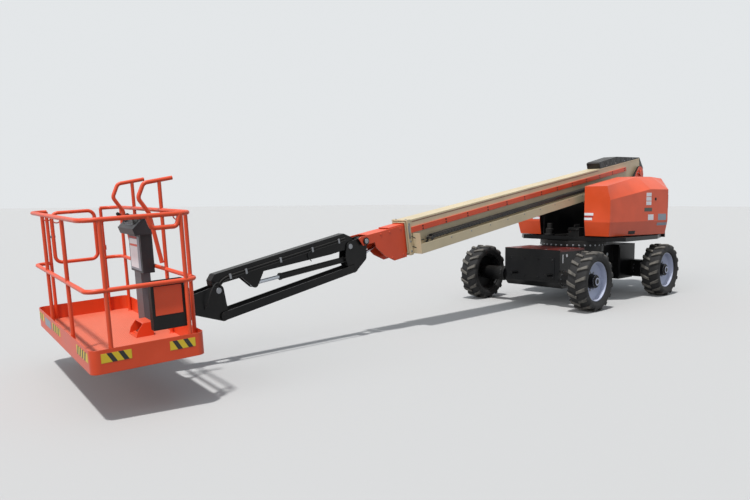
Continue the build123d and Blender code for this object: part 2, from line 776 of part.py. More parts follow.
def rounded_plan(inset):
    """The platform's outline in plan with rounded corners, shrunk by inset."""
    depth, width = platform_depth - 2 * inset, platform_width - 2 * inset
    return Pos((plat_rear + plat_front) / 2, platform_side_offset) * RectangleRounded(
        depth, width, platform_corner - inset)


def platform_floor():
    """Floor of the basket: a thin deck on a frame of bars, with a stouter bar along its middle."""
    inset = toe_plate + rim_seat_gap
    x0, x1 = plat_rear + inset, plat_front - inset
    floor = Pos(0, 0, floor_thickness - floor_sheet) * extrude(rounded_plan(inset), floor_sheet)
    floor += extrude(rounded_plan(inset) - rounded_plan(inset + floor_bar), floor_thickness)
    middle_x = (x0 + x1) / 2
    floor += box(middle_x - floor_bar, middle_x + floor_bar, plat_right + floor_bar, plat_left - floor_bar,
                 0, floor_thickness - 1)
    for share in (0.2, 0.4, 0.6, 0.8):
        y = plat_right + platform_width * share
        floor += box(x0 + 1, x1 - 1, y - floor_bar / 2, y + floor_bar / 2, 10, floor_thickness - 1)
    return floor


def toe_board():
    """Board round the floor's edge, curving down to the floor at the rear beside the console."""
    board = extrude(rounded_plan(0), toe_height) - extrude(rounded_plan(toe_plate), toe_height)
    depth = toe_height - floor_thickness
    mouth = Plane.YZ.offset(plat_rear - 1) * Pos(0, floor_thickness + toe_height) * RectangleRounded(
        rear_opening, 2 * toe_height, depth * 0.9)
    return board - extrude(mouth, toe_plate + 2, dir=(1, 0, 0))


def rail(points, radius=None, closed=False):
    """A bent round tube through a few points."""
    path = Polyline(*points, close=closed) if radius is None else FilletPolyline(
        *points, radius=radius, close=closed)
    start = Plane(origin=path @ 0, z_dir=path % 0)
    return sweep(start * Circle(rail_radius), path=path)


def rail_lines():
    """Where the rails run in plan: rear and front X, right and left Y."""
    inset = rail_radius + toe_plate
    return plat_rear + inset, plat_front - inset, plat_right + inset, plat_left - inset


def upright(x, y, low, high):
    """A straight post, a little thinner than the rails that it carries."""
    return Pos(x, y, low) * Cylinder(post_radius, high - low, align=(Align.CENTER, Align.CENTER, Align.MIN))


def platform_rails():
    """Guard rails: posts, a top rail and a middle rail round the basket, open at the gate."""
    x0, x1, y0, y1 = rail_lines()
    rails = Part()
    for height, radius in ((mid_rail_height, mid_rail_bend), (top_rail_height, top_rail_bend)):
        rails += rail([(x0, y0, height), (x1, y0, height), (x1, y1, height), (x0, y1, height)],
                      radius, closed=True)
    rails -= box(gate_rear + 5, gate_front - 5, y0 - 30, y0 + 30, mid_rail_height - 30, top_rail_height + 30)
    posts = ((x1, platform_side_offset - front_post_spread), (x1, platform_side_offset + front_post_spread),
             (x1 - side_post_setback, y1), (x0 + 93, y1), (gate_front, y0), (gate_rear, y0),
             (x0, y0 + rear_post_setback), (x0, hoop_places[0]), (x0, hoop_places[1]),
             (x0, y1 - rear_post_setback))
    for x, y in posts:
        rails += upright(x, y, floor_thickness + 0.3, top_rail_height)
    low = top_rail_height - rail_dip
    rails += rail([(x0 + 100, y1, top_rail_height), (x0 + 130, y1, low), (x0 + 330, y1, low),
                   (x0 + 360, y1, top_rail_height)], 40)
    return rails


def rail_hoops():
    """Two bent tubes over the console: a leg from the post forward and up, then back over the rear."""
    x0 = rail_lines()[0]
    foot = x0 + post_radius + rail_radius + 0.6
    top = top_rail_height + hoop_rise
    hoops = []
    for y in hoop_places:
        hoop = rail([(foot, y, hoop_foot), (x0 + hoop_lean, y, top_rail_height - 15),
                     (x0 + hoop_reach, y, top - hoop_knee), (x0 + hoop_reach - 60, y, top - 10),
                     (x0 - hoop_back, y, top + 25)], hoop_bend)
        low = top_rail_height + rail_radius + 0.3
        hoop += upright(x0, y, low, top + 5)
        hoops.append(hoop)
    return hoops


def gate():
    """Swing gate at the basket's right end: a rounded loop on two sleeves round the rear gate post."""
    y0 = rail_lines()[2]
    x_near, x_far = gate_rear + 70, gate_front - 45
    low, high = mid_rail_height, top_rail_height - 18
    loop = rail([(x_near, y0, low), (x_far, y0, low), (x_far, y0, high), (x_near, y0, high)], 70, closed=True)
    for z in (low + 110, high - 110):
        sleeve = Pos(gate_rear, y0, z) * Cylinder(post_radius + 8, 50)
        sleeve += box(gate_rear, x_near, y0 - 8, y0 + 8, z - 20, z + 20)
        loop += sleeve - Pos(gate_rear, y0, z) * Cylinder(post_radius + running_gap, 50)
    return loop


def console():
    """Control console: a sloped head above a narrower cabinet, on a column from the floor."""
    x0 = rail_lines()[0] + rail_radius + 1
    half = console_width / 2
    head = plate_xz([(x0, console_chin), (x0 + 170, console_chin), (x0 + 190, console_brow),
                     (x0 + 70, console_crest), (x0, console_crest)], console_y - half, console_y + half)
    head += box(x0, x0 + 110, console_y - half + 60, console_y + half - 60, console_low, console_chin)
    column = box(x0 + 5, x0 + 95, console_y - 160, console_y + 60, floor_thickness + 0.3, console_low - 0.3)
    return head, column


def storage_box():
    """Black tray hung inside the left rail, open at the top."""
    x0, x1, y0, y1 = rail_lines()
    face = y1 - rail_radius
    start, end = x0 + tray_setback, x0 + tray_setback + tray_length
    depth, wall = 80, 6
    holder = box(start, end, face - depth, face, tray_bottom, mid_rail_height + 15)
    return holder - box(start + wall, end - wall, face - depth + wall, face - wall, tray_bottom + wall,
                        mid_rail_height + 16)


def foot_switch():
    """Foot switch on the basket's floor: a pedal inside a guard that is open towards the front."""
    seat = floor_thickness + 0.3
    x0, x1, y0, y1 = 440, 600, 180, 430
    wall = 8
    guard = plate_xz([(x0, seat), (x1, seat), (x1 - 20, seat + 60), (x1 - 70, seat + 125), (x0, seat + 125)],
                     y0, y1)
    guard -= box(x0 + wall, x1 + 1, y0 + wall, y1 - wall, seat + wall, seat + 125 - wall)
    pedal = plate_xz([(x0 + wall - 1, seat + wall - 1), (x1 - 30, seat + wall - 1), (x1 - 30, seat + 20),
                      (x0 + wall - 1, seat + 48)], y0 + 40, y1 - 40)
    return guard + pedal


def wheel_parts():
    """All four tyres and wheels, each placed at its corner."""
    one_tyre = tyre()
    parts = {}
    for name, end, side in wheel_places:
        place = Pos(end * axle_x, side * half_track, tyre_radius)
        parts["tyre_" + name] = place * one_tyre
        parts["rim_" + name] = place * rim(side)
    return parts


parts = {"chassis_frame": chassis_frame(), "drive_axle": drive_axle(), "steer_axle": steer_axle(),
         "knuckle_left": knuckle(1), "knuckle_right": knuckle(-1), "tie_rod": tie_rod(),
         "steer_cylinder": steer_cylinder(), "slew_ring": slew_ring()}
parts.update(wheel_parts())
parts["turntable_frame"] = turntable_frame()
parts["counterweight"] = counterweight()
parts["hood_left"] = hood(1)
parts["hood_right"] = hood(-1)
parts["engine_block"], parts["tank"] = engine_and_tanks()
parts["boom_base"], parts["boom_mid"], parts["boom_fly"] = boom_sections()
parts["boom_rail"], parts["hose_tray"], parts["power_track"], parts["boom_cover"] = boom_trim()
parts["lift_barrel"], parts["lift_rod"] = cylinder_pair(
    lift_foot, on_boom(lift_head), lift_barrel_radius, lift_rod_radius, 0.9, 60, lift_barrel_radius + 8.7, 55.7,
    lift_pin_radius)
parts["level_bracket"] = level_bracket()
parts["level_barrel"], parts["level_rod"] = cylinder_pair(
    on_boom(level_foot), level_head, level_barrel_radius, level_rod_radius, 0.57, 30, 40,
    jib_width / 2 + body_gap - 0.3, level_foot_pin, level_retract)
parts["jib_arm"] = jib_arm()
parts["lower_link"] = lower_link()
parts["jib_barrel"], parts["jib_rod"] = cylinder_pair(
    jib_foot, jib_head, jib_barrel_radius, jib_rod_radius, 0.74, 35, jib_width / 2 - jib_wall - body_gap, 27.7,
    jib_pin_radius, jib_retract)
parts["platform_support"] = platform_support()
for name, make in (("platform_mount", platform_mount), ("platform_floor", platform_floor),
                   ("toe_board", toe_board), ("platform_rails", platform_rails), ("gate", gate),
                   ("storage_box", storage_box), ("foot_switch", foot_switch)):
    parts[name] = platform_place() * make()
parts["rail_hoops"] = [platform_place() * piece for piece in rail_hoops()]
parts["console"], parts["console_column"] = [platform_place() * piece for piece in console()]

solids = {name: Compound(children=list(piece)) if isinstance(piece, list) else piece
          for name, piece in parts.items()}
whole = Compound(children=[Compound(piece.wrapped) for piece in solids.values()]).bounding_box()
middle = Pos(-(whole.min.X + whole.max.X) / 2, -(whole.min.Y + whole.max.Y) / 2, 0)
os.makedirs("parts", exist_ok=True)
for name, piece in solids.items():
    export_step(middle * piece, "parts/" + name + ".step")
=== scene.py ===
"""A telescopic boom lift with a jib, parked on a pale floor with its boom down."""
import math

import bmesh
import bpy
from mathutils import Matrix, Vector


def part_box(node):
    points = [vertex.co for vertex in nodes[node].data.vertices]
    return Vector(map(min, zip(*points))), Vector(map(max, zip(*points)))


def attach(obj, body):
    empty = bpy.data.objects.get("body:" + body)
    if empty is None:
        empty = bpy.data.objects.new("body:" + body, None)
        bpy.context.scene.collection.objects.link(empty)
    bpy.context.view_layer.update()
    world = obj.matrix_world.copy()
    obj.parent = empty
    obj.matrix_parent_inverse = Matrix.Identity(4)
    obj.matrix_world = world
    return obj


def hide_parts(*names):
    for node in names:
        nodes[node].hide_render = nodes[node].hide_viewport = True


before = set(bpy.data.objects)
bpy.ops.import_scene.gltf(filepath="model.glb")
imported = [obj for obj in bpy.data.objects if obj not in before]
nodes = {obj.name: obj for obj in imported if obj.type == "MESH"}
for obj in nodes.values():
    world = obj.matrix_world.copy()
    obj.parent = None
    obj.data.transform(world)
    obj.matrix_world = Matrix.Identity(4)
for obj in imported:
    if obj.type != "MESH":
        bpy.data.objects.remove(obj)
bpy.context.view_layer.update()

# The camera, the floor and the light
# The photographer stands ahead of the basket and to the machine's left, at eye height, with a
# wide zoom lens. Places are given from the middle of the slewing ring, where the machine turns.
ring_low, ring_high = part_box("slew_ring")
slew_centre = Vector(((ring_low.x + ring_high.x) / 2, (ring_low.y + ring_high.y) / 2, 0))
camera_place = Vector((10.780, 6.185, 1.719))
camera_yaw = math.radians(-133.79)
camera_pitch = math.radians(-4.28)
camera_roll = math.radians(0.13)
lens_px = 675.1
photo_width_px = 750
sensor_width_mm = 36


def colour(hex_code):
    """An sRGB hex colour as the linear one that a shader takes."""
    parts = [int(hex_code[i:i + 2], 16) / 255 for i in (1, 3, 5)]
    return tuple(c / 12.92 if c <= 0.04045 else ((c + 0.055) / 1.055) ** 2.4 for c in parts) + (1,)


def add_node(tree, kind, links=(), values=(), **settings):
    """Adds a node with its settings, its sockets' values, and links into it: (socket, or a node for its
    first one, then the name or number that it goes into)."""
    made = tree.nodes.new(kind if "Node" in kind else "ShaderNode" + kind)
    for name, value in settings.items():
        setattr(made, name, value)
    for name, value in dict(values).items():
        made.inputs[name].default_value = value
    for source, name in links:
        tree.links.new(source.outputs[0] if hasattr(source, "outputs") else source, made.inputs[name])
    return made


def put_in_scene(thing):
    """Links an object to the scene."""
    bpy.context.scene.collection.objects.link(thing)
    return thing


def new_material(name):
    """A new material, with its tree and its shader."""
    material = bpy.data.materials.new(name)
    material.use_nodes = True
    return material, material.node_tree, material.node_tree.nodes["Principled BSDF"]


camera_data = bpy.data.cameras.new("camera")
camera_data.sensor_width = sensor_width_mm
camera_data.lens = lens_px / photo_width_px * sensor_width_mm
camera = put_in_scene(bpy.data.objects.new("camera", camera_data))
camera.location = slew_centre + camera_place
camera.rotation_euler = (math.pi / 2 + camera_pitch, camera_roll, camera_yaw - math.pi / 2)
bpy.context.scene.camera = camera
bpy.context.scene.view_settings.view_transform = "Standard"

half_floor = 150
floor_mesh = bpy.data.meshes.new("floor")
floor_mesh.from_pydata([(-half_floor, -half_floor, 0), (half_floor, -half_floor, 0),
                        (half_floor, half_floor, 0), (-half_floor, half_floor, 0)], [], [(0, 1, 2, 3)])
floor = put_in_scene(bpy.data.objects.new("floor", floor_mesh))
floor_paint, floor_tree, floor_shader = new_material("pale_floor")
floor_shader.inputs["Roughness"].default_value = 0.9
seen_by = add_node(floor_tree, "LightPath")
pale = add_node(floor_tree, "Math", [(seen_by.outputs["Is Camera Ray"], 0),
        (seen_by.outputs["Is Glossy Ray"], 1)], operation="MAXIMUM")
floor_tint = add_node(floor_tree, "Mix", [(pale, "Factor")], {6: colour("#6C6D70"), 7: colour("#BDBCBA")},
                      data_type="RGBA")
floor_tree.links.new(floor_tint.outputs[2], floor_shader.inputs["Base Color"])
floor_mesh.materials.append(floor_paint)

# name, turn in degrees, strength, spread in degrees
lamps = (("sun_ahead", (-7, 18, 0), 3.0, 3), ("fill_from_ahead", (66, 0, 97), 0.9, 40))
for name, turn, strength, spread in lamps:
    lamp = bpy.data.lights.new(name, "SUN")
    lamp.energy = strength
    lamp.angle = math.radians(spread)
    holder = put_in_scene(bpy.data.objects.new(name, lamp))
    holder.rotation_euler = [math.radians(angle) for angle in turn]
world = bpy.data.worlds.new("sky")
world.use_nodes = True
sky = world.node_tree
sky.nodes.clear()
ray = add_node(sky, "LightPath")
shown = add_node(sky, "Math", [(ray.outputs["Is Camera Ray"], 0), (ray.outputs["Is Glossy Ray"], 1)],
                 operation="MAXIMUM")
sky_light = add_node(sky, "Background", values={"Color": colour("#DCE6F2"), "Strength": 0.5})
sky_seen = add_node(sky, "Background", values={"Color": colour("#E9ECEE"), "Strength": 0.95})
sky_mix = add_node(sky, "MixShader", [(shown, 0), (sky_light, 1), (sky_seen, 2)])
add_node(sky, "OutputWorld", [(sky_mix, "Surface")])
bpy.context.scene.world = world

# The chassis
# A deep box welded from steel plate between the wheels, with a round tower for the slewing ring
# and two axle beams, all sprayed black. The front cover is a dark red sheet screwed on top.
machine_place = Matrix.Translation(slew_centre) @ Matrix.Scale(0.001, 4)
places = {}  # of the bodies that are drawn in a frame of their own
frame_half = 520
frame_end = 1300
frame_top = 905
axle_x = 1242


def painted(name, hex_code, worn_hex, dust_hex="#8C8478", roughness=0.35, wear=0.5, dust=0.25, gloss=0.5):
    """A finish, as of sprayed enamel on steel: an even coat, a little uneven in colour, rubbed through along
    the edges and dusty on what faces up. Its patches are 450 mm wide. Its chips are drawn 18 mm wide,
    coarser than real ones, so that they show."""
    paint, tree, shader = new_material(name)
    shader.inputs["IOR"].default_value = 1.5
    shader.inputs["Specular IOR Level"].default_value = gloss
    place = add_node(tree, "TexCoord").outputs["Object"]
    patches = add_node(tree, "TexNoise", [(place, "Vector")], {"Scale": 2.2, "Detail": 5.0})
    specks = add_node(tree, "TexNoise", [(place, "Vector")], {"Scale": 55.0, "Detail": 4.0})
    uneven = add_node(tree, "MapRange", [(patches, 0)], {1: 0.3, 2: 0.7, 3: 0.86, 4: 1.08})
    base = add_node(tree, "Mix", [(uneven, "Factor")], {6: (0, 0, 0, 1), 7: colour(hex_code)},
                    data_type="RGBA", clamp_factor=False)
    facing = add_node(tree, "SeparateXYZ", [(add_node(tree, "NewGeometry").outputs["Normal"], 0)])
    settled = add_node(tree, "MapRange", [(facing.outputs[2], 0)], {1: 0.3, 2: 1.0, 3: 0.0, 4: dust})
    grime = add_node(tree, "MapRange", [(patches, 0)], {1: 0.35, 2: 0.75, 3: 0.0, 4: dust})
    both = add_node(tree, "Math", [(settled, 0), (grime, 1)], operation="ADD")
    dusty = add_node(tree, "Math", [(both, 0), (specks, 1)], operation="MULTIPLY", use_clamp=True)
    coat = add_node(tree, "Mix", [(dusty, "Factor"), (base.outputs[2], 6)], {7: colour(dust_hex)},
                    data_type="RGBA")
    round_edge = add_node(tree, "Bevel", values={"Radius": 0.006}, samples=4)
    flat = add_node(tree, "NewGeometry")
    turned_by = add_node(tree, "VectorMath", [(round_edge, 0), (flat.outputs["Normal"], 1)],
                         operation="DOT_PRODUCT")
    edge = add_node(tree, "MapRange", [(turned_by.outputs["Value"], 0)], {1: 0.98, 2: 0.86, 3: 0.0, 4: 1.0})
    chipped = add_node(tree, "MapRange", [(specks, 0)], {1: 0.5, 2: 0.62, 3: 0.0, 4: wear})
    rubbed = add_node(tree, "Math", [(edge, 0), (chipped, 1)], operation="MULTIPLY")
    seen = add_node(tree, "Mix", [(rubbed, "Factor"), (coat.outputs[2], 6)], {7: colour(worn_hex)},
                    data_type="RGBA")
    tree.links.new(seen.outputs[2], shader.inputs["Base Color"])
    dull = add_node(tree, "MapRange", [(dusty, 0)], {1: 0.0, 2: 0.3, 3: roughness, 4: roughness + 0.3})
    tree.links.new(dull.outputs[0], shader.inputs["Roughness"])
    ripple = add_node(tree, "Bump", [(specks, "Height"), (round_edge, "Normal")],
                      {"Strength": 0.04, "Distance": 0.002})
    tree.links.new(ripple.outputs[0], shader.inputs["Normal"])
    return paint


def finish_nodes(material, *names):
    """Gives carried-over CAD pieces their finish."""
    for name in names:
        for slot in nodes[name].material_slots:
            slot.material = material


def block(bm, low, high):
    """A block between two corners."""
    corners = [bm.verts.new((x, y, z)) for x in (low[0], high[0]) for y in (low[1], high[1])
               for z in (low[2], high[2])]
    for face in ((0, 1, 3, 2), (4, 6, 7, 5), (0, 4, 5, 1), (2, 3, 7, 6), (0, 2, 6, 4), (1, 5, 7, 3)):
        bm.faces.new([corners[i] for i in face])


def rectangle(x0, x1, z0, z1):
    """The corners of a rectangle."""
    return [(x0, z0), (x1, z0), (x1, z1), (x0, z1)]


def circle(count, radius):
    """Points spread evenly round a circle."""
    return [(radius * math.cos(math.tau * i / count), radius * math.sin(math.tau * i / count))
            for i in range(count)]


def off(side, near, far):
    """From near to far on one side of the middle, the lower value first."""
    return sorted((side * near, side * far))


def slab(bm, low, top):
    """Closes a slab between two outlines."""
    bm.faces.new(low)
    bm.faces.new(top[::-1])
    for i in range(len(low)):
        j = (i + 1) % len(low)
        bm.faces.new((low[i], top[i], top[j], low[j]))


def skin(bm, rings):
    """Closes a long shape over its rings of corners, from each ring to the next."""
    for near, far in zip(rings, rings[1:]):
        for i in range(len(near)):
            j = (i + 1) % len(near)
            bm.faces.new((near[i], near[j], far[j], far[i]))
    bm.faces.new(rings[0][::-1])
    bm.faces.new(rings[-1])


def plate(bm, outline, low, high, axis="Z"):
    """A flat plate: an outline across an axis, thick from low to high along it."""
    order = {"X": (1, 2, 0), "Y": (0, 2, 1), "Z": (0, 1, 2)}[axis]
    rings = []
    for along in (low, high):
        ring = []
        for point in outline:
            place = [0, 0, 0]
            for where, value in zip(order, (*point, along)):
                place[where] = value
            ring.append(bm.verts.new(place))
        rings.append(ring)
    slab(bm, *rings)


def turned(bm, start, direction, profile, sides=24):
    """A piece turned on a lathe: (distance along the axis, radius) from a start, closed at both ends."""
    lay = Vector(direction).to_track_quat("Z", "Y").to_matrix()
    rings = []
    for along, radius in profile:
        rings.append([bm.verts.new(Vector(start) + lay @ Vector((x, y, along)))
                      for x, y in circle(sides, radius)])
    skin(bm, rings)


def as_mesh(name, bm):
    """A finished drawing as a mesh, its normals outward."""
    bmesh.ops.recalc_face_normals(bm, faces=bm.faces[:])
    mesh = bpy.data.meshes.new(name)
    bm.to_mesh(mesh)
    bm.free()
    return mesh


def place_of(body):
    """Where the drawings of a body's pieces lie in the scene."""
    return places.get(body, machine_place)


def make_piece(name, bm, material, body, bevel_mm=0, smooth=False):
    """Turns a drawing in millimetres into a finished piece in its place, riding on a body."""
    mesh = as_mesh(name, bm)
    mesh.transform(place_of(body))
    mesh.materials.append(material)
    piece = put_in_scene(bpy.data.objects.new(name, mesh))
    if bevel_mm:
        soft = piece.modifiers.new("soft_edges", "BEVEL")
        soft.width = bevel_mm / 1000
        soft.segments = 2
        soft.limit_method = "ANGLE"
    if smooth:
        mesh.shade_smooth()
        mesh.set_sharp_from_angle(angle=math.radians(35))
    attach(piece, body)


def new_tree(name, **inputs):
    """A Geometry Nodes tree with its named inputs, and what they give."""
    tree = bpy.data.node_groups.new(name, "GeometryNodeTree")
    tree.interface.new_socket("Geometry", in_out="INPUT", socket_type="NodeSocketGeometry")
    tree.interface.new_socket("Geometry", in_out="OUTPUT", socket_type="NodeSocketGeometry")
    for label, kind in inputs.items():
        tree.interface.new_socket(label, in_out="INPUT", socket_type="NodeSocket" + kind)
    return tree, add_node(tree, "NodeGroupInput").outputs


def end_tree(tree, instances, material):
    """Ends a tree: its instances made real, in their material."""
    real = add_node(tree, "GeometryNodeRealizeInstances", [(instances, 0)])
    coated = add_node(tree, "GeometryNodeSetMaterial", [(real, 0), (material, "Material")])
    add_node(tree, "NodeGroupOutput", [(coated, 0)])


def grow(name, mesh, tree, **values):
    """Runs a tree on a mesh, and keeps what it makes as a plain mesh of its own."""
    holder = put_in_scene(bpy.data.objects.new(name, mesh))
    modifier = holder.modifiers.new("grow", "NODES")
    modifier.node_group = tree
    for item in tree.interface.items_tree:
        if item.in_out == "INPUT" and item.name in values:
            modifier[item.identifier] = values[item.name]
    depsgraph = bpy.context.evaluated_depsgraph_get()
    grown = bpy.data.meshes.new_from_object(holder.evaluated_get(depsgraph), depsgraph=depsgraph)
    bpy.data.objects.remove(holder)
    return put_in_scene(bpy.data.objects.new(name, grown))


screw_tree, screw_in = new_tree("hexagon_screws", Across="Float", Height="Float", Material="Material")
half_across = add_node(screw_tree, "Math", [(screw_in["Across"], 0)], {1: 0.56}, operation="MULTIPLY")
head = add_node(screw_tree, "GeometryNodeMeshCylinder", [(half_across, "Radius"),
        (screw_in["Height"], "Depth")], {"Vertices": 6})
washer_radius = add_node(screw_tree, "Math", [(screw_in["Across"], 0)], {1: 0.8}, operation="MULTIPLY")
washer_height = add_node(screw_tree, "Math", [(screw_in["Height"], 0)], {1: 0.35}, operation="MULTIPLY")
washer = add_node(screw_tree, "GeometryNodeMeshCylinder", [(washer_radius, "Radius"),
        (washer_height, "Depth")], {"Vertices": 16})
both_rounds = add_node(screw_tree, "GeometryNodeJoinGeometry", [(head, 0), (washer, 0)])
facing = add_node(screw_tree, "GeometryNodeInputNamedAttribute", values={"Name": "facing"},
                  data_type="FLOAT_VECTOR")
upright = add_node(screw_tree, "FunctionNodeAlignRotationToVector", [(facing, "Vector")], axis="Z")
set_in = add_node(screw_tree, "GeometryNodeInstanceOnPoints", [(screw_in["Geometry"], "Points"),
        (both_rounds, "Instance"), (upright, "Rotation")])
end_tree(screw_tree, set_in, screw_in["Material"])


def screws(name, spots, across_mm, height_mm, material, body):
    """Hexagon screws on washers: spots are (point, direction that the head faces)."""
    place = place_of(body)
    mesh = bpy.data.meshes.new(name)
    mesh.from_pydata([place @ Vector(point) for point, _ in spots], [], [])
    looks = mesh.attributes.new("facing", "FLOAT_VECTOR", "POINT")
    for i, (_, way) in enumerate(spots):
        looks.data[i].vector = (place.to_3x3() @ Vector(way)).normalized()
    group = grow(name, mesh, screw_tree, Across=across_mm / 1000, Height=height_mm / 1000, Material=material)
    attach(group, body)
    return group


# Sprayed black enamel on steel: deep and glossy, with a thin grey film of dust on what faces up.
black_enamel = painted("black_enamel", "#08090C", "#2C2D33", roughness=0.3, dust=0.07, gloss=0.22)
finish_nodes(black_enamel, "chassis_frame", "drive_axle", "steer_axle", "knuckle_left", "knuckle_right")

# Zinc-plated steel: pale, a little blue, dull at the corners, so that screws catch the light.
zinc_plate = painted("zinc_plate", "#8E9196", "#5A5A5C", roughness=0.3, wear=0.6, dust=0.3)
zinc_plate.node_tree.nodes["Principled BSDF"].inputs["Metallic"].default_value = 0.8

# Enamel that the sun has darkened to oxblood, with pale scuffs where boots stand.
cover_enamel = painted("oxblood_enamel", "#5C0E0C", "#8C7A70", roughness=0.3, wear=0.7, dust=0.08, gloss=0.3)
cover = bmesh.new()
block(cover, (545, -frame_half + 12, frame_top), (frame_end - 8, frame_half - 12, frame_top + 5))
for side in (-1, 1):
    plate(cover, rectangle(545, frame_end - 8, frame_top - 30, frame_top + 5),
          *off(side, frame_half + 1, frame_half + 4), axis="Y")
make_piece("chassis_front_cover", cover, cover_enamel, "chassis", bevel_mm=2)
cover_spots = [((x, side * (frame_half - 45), frame_top + 6), (0, 0, 1)) for x in (600, 900, 1230)
               for side in (-1, 1)]
cover_spots += [((frame_end - 55, y, frame_top + 6), (0, 0, 1)) for y in (-240, 0, 240)]
screws("cover_screws", cover_spots, 19, 8, zinc_plate, "chassis")

trim = bmesh.new()
for end in (-1, 1):
    for side in (-1, 1):
        plate(trim, rectangle(end * 700, end * 740, 330, 860), *off(side, frame_half - 2, frame_half + 10),
              axis="Y")
    plate(trim, rectangle(-430, 430, 420, 780), *off(end, frame_end - 2, frame_end + 6), axis="X")
make_piece("chassis_stiffeners", trim, black_enamel, "chassis", bevel_mm=3)
screws("end_plate_screws", [((end * (frame_end + 8), y, z), (end, 0, 0)) for end in (-1, 1)
                            for y in (-390, -130, 130, 390) for z in (460, 740)], 22, 10, black_enamel,
       "chassis")

# Blank vinyl: a smooth, slightly glossy film, yellowed a little, that lies on the paint.
pale_vinyl = painted("pale_vinyl", "#EFEFF0", "#B4B2AC", roughness=0.4, wear=0.2, dust=0.06)
labels = bmesh.new()
plate(labels, rectangle(1190, 1218, 700, 835), frame_half, frame_half + 1.4, axis="Y")
waist_end, waist_setback = 682, 110
for x, z, radius in ((1085, 812, 26), (395, 735, 30), (-470, 742, 30)):
    wall = frame_half - (waist_setback if abs(x) < waist_end else 0)
    for side in (1, -1):
        turned(labels, (x, side * wall, z), (0, side, 0), [(0, radius), (1.4, radius)])
make_piece("chassis_blank_labels", labels, pale_vinyl, "chassis")

# Axles, steering and slewing ring
# Forged knuckles and a tube axle with drive hubs, a steering cylinder across the rear, and a geared
# ring under the turntable that is held down by a circle of high-tensile screws.
axle_z = 460
ring_radius = 560
ring_low_z = 915
# Hard chrome, ground and polished: a clean bright grey with a trace of brown dust.
chrome = painted("hard_chrome", "#B9BEC6", "#6D6A64", dust_hex="#5E5244", roughness=0.1, wear=0.1, dust=0.2)
chrome.node_tree.nodes["Principled BSDF"].inputs["Metallic"].default_value = 1.0
finish_nodes(chrome, "tie_rod")
finish_nodes(black_enamel, "steer_cylinder")
# Cast iron under thin black paint: duller than the sprayed plates, with an even half-matt skin.
black_casting = painted("black_casting", "#0E0E10", "#333234", roughness=0.5, dust=0.1, gloss=0.25)
finish_nodes(black_casting, "slew_ring")
ring_screws = 36
ring_spots = [((x, y, ring_low_z + 22), (x, y, 0)) for x, y in circle(ring_screws, ring_radius + 0.5)]
screws("slew_ring_screws", ring_spots, 20, 9, zinc_plate, "chassis")
fittings = bmesh.new()
for side in (-1, 1):
    for x in (-axle_x, axle_x):
        turned(fittings, (x, side * (frame_half + 40), axle_z), (0, side, 0), [(0, 121), (22, 121)], 32)
        turned(fittings, (x + 60, side * (frame_half + 60), 575), (0, 0, 1),
               [(0, 13), (14, 13), (16, 9), (26, 9)], 12)
    turned(fittings, (-axle_x - 170, side * 150, 395), (0, 0, 1), [(0, 12), (30, 12)], 12)
make_piece("axle_flanges", fittings, black_casting, "chassis", bevel_mm=1.5)
flange_screw_circle = 108
flange_spots = [((x + dx, side * (frame_half + 62), axle_z + dz), (0, side, 0)) for x in (-axle_x, axle_x)
                for side in (-1, 1) for dx, dz in circle(10, flange_screw_circle)]
screws("axle_flange_screws", flange_spots, 17, 9, zinc_plate, "chassis")

# The wheels
# Foam-filled rubber tyres with two rows of deep slanted lugs, on white enamelled steel wheels that
# are dished round black drive hubs and held by nine nuts each.
rim_radius = 306.5
lug_count = 16
carcass_sides = 96
nut_circle, nut_count = 139, 9
half_track = 1020
wheel_spots = (("front_left", 1, 1), ("front_right", 1, -1), ("rear_left", -1, 1), ("rear_right", -1, -1))

# Moulded rubber: black and matt, with brown dried earth in patches, heaviest on the lugs' tops, so that
# the hollows between the lugs stay dark as painted shade. Its grain is drawn 6 mm wide, coarser than
# real pores, so that it shows.
rubber, tree, shader = new_material("moulded_rubber")
place = add_node(tree, "TexCoord").outputs["Object"]
dirt_noise = add_node(tree, "TexNoise", [(place, "Vector")], {"Scale": 14.0, "Detail": 6.0})
grit = add_node(tree, "TexNoise", [(place, "Vector")], {"Scale": 180.0, "Detail": 3.0})
lug_height_node = add_node(tree, "Attribute", attribute_name="tread_height")
# dust grows with the height on the lugs, so the grooves between them stay dark: painted shade
dust_and_painted_shade = add_node(tree, "Math", [(dirt_noise, 0), (lug_height_node.outputs["Fac"], 1)], operation="MULTIPLY")
dust_and_shade_share = add_node(tree, "MapRange", [(dust_and_painted_shade, 0)], {1: 0.12, 2: 0.6, 3: 0.03, 4: 0.85})
rubber_mix = add_node(tree, "Mix", [(dust_and_shade_share, "Factor")], {6: colour("#121214"), 7: colour("#77726A")},
                      data_type="RGBA")
tree.links.new(rubber_mix.outputs[2], shader.inputs["Base Color"])
shader.inputs["Roughness"].default_value = 0.78
grain = add_node(tree, "Bump", [(grit, "Height")], {"Strength": 0.25, "Distance": 0.002})
tree.links.new(grain.outputs[0], shader.inputs["Normal"])

# a lug across one side, station by station: distance from the middle, top, foot, half width
lug_stations = ((4, 457.1, 424, 19), (62, 459, 424, 22), (112, 458.2, 422, 25), (140, 452, 414, 27),
                (157, 433, 392, 26), (159.6, 402, 372, 20))
lug_slant = math.tan(math.radians(24))
lug = bmesh.new()
for side in (-1, 1):
    rows = []
    for out, top, foot, half in lug_stations:
        middle = -(out - 80) * lug_slant
        corners = [(middle - half * 1.25, foot), (middle - half, top - 3), (middle - half + 4, top),
                   (middle + half - 4, top), (middle + half, top - 3), (middle + half * 1.25, foot)]
        turn = 0 if side < 0 else math.pi / lug_count
        c, s = math.cos(turn), math.sin(turn)
        rows.append([lug.verts.new((x * c + z * s, side * out, -x * s + z * c)) for x, z in corners])
    skin(lug, rows)
lug_mesh = as_mesh("lug_pattern", lug)
lug_mesh.transform(Matrix.Scale(0.001, 4))
tread_floor, tread_depth = 0.425, 0.03
high = lug_mesh.attributes.new("tread_height", "FLOAT", "POINT")
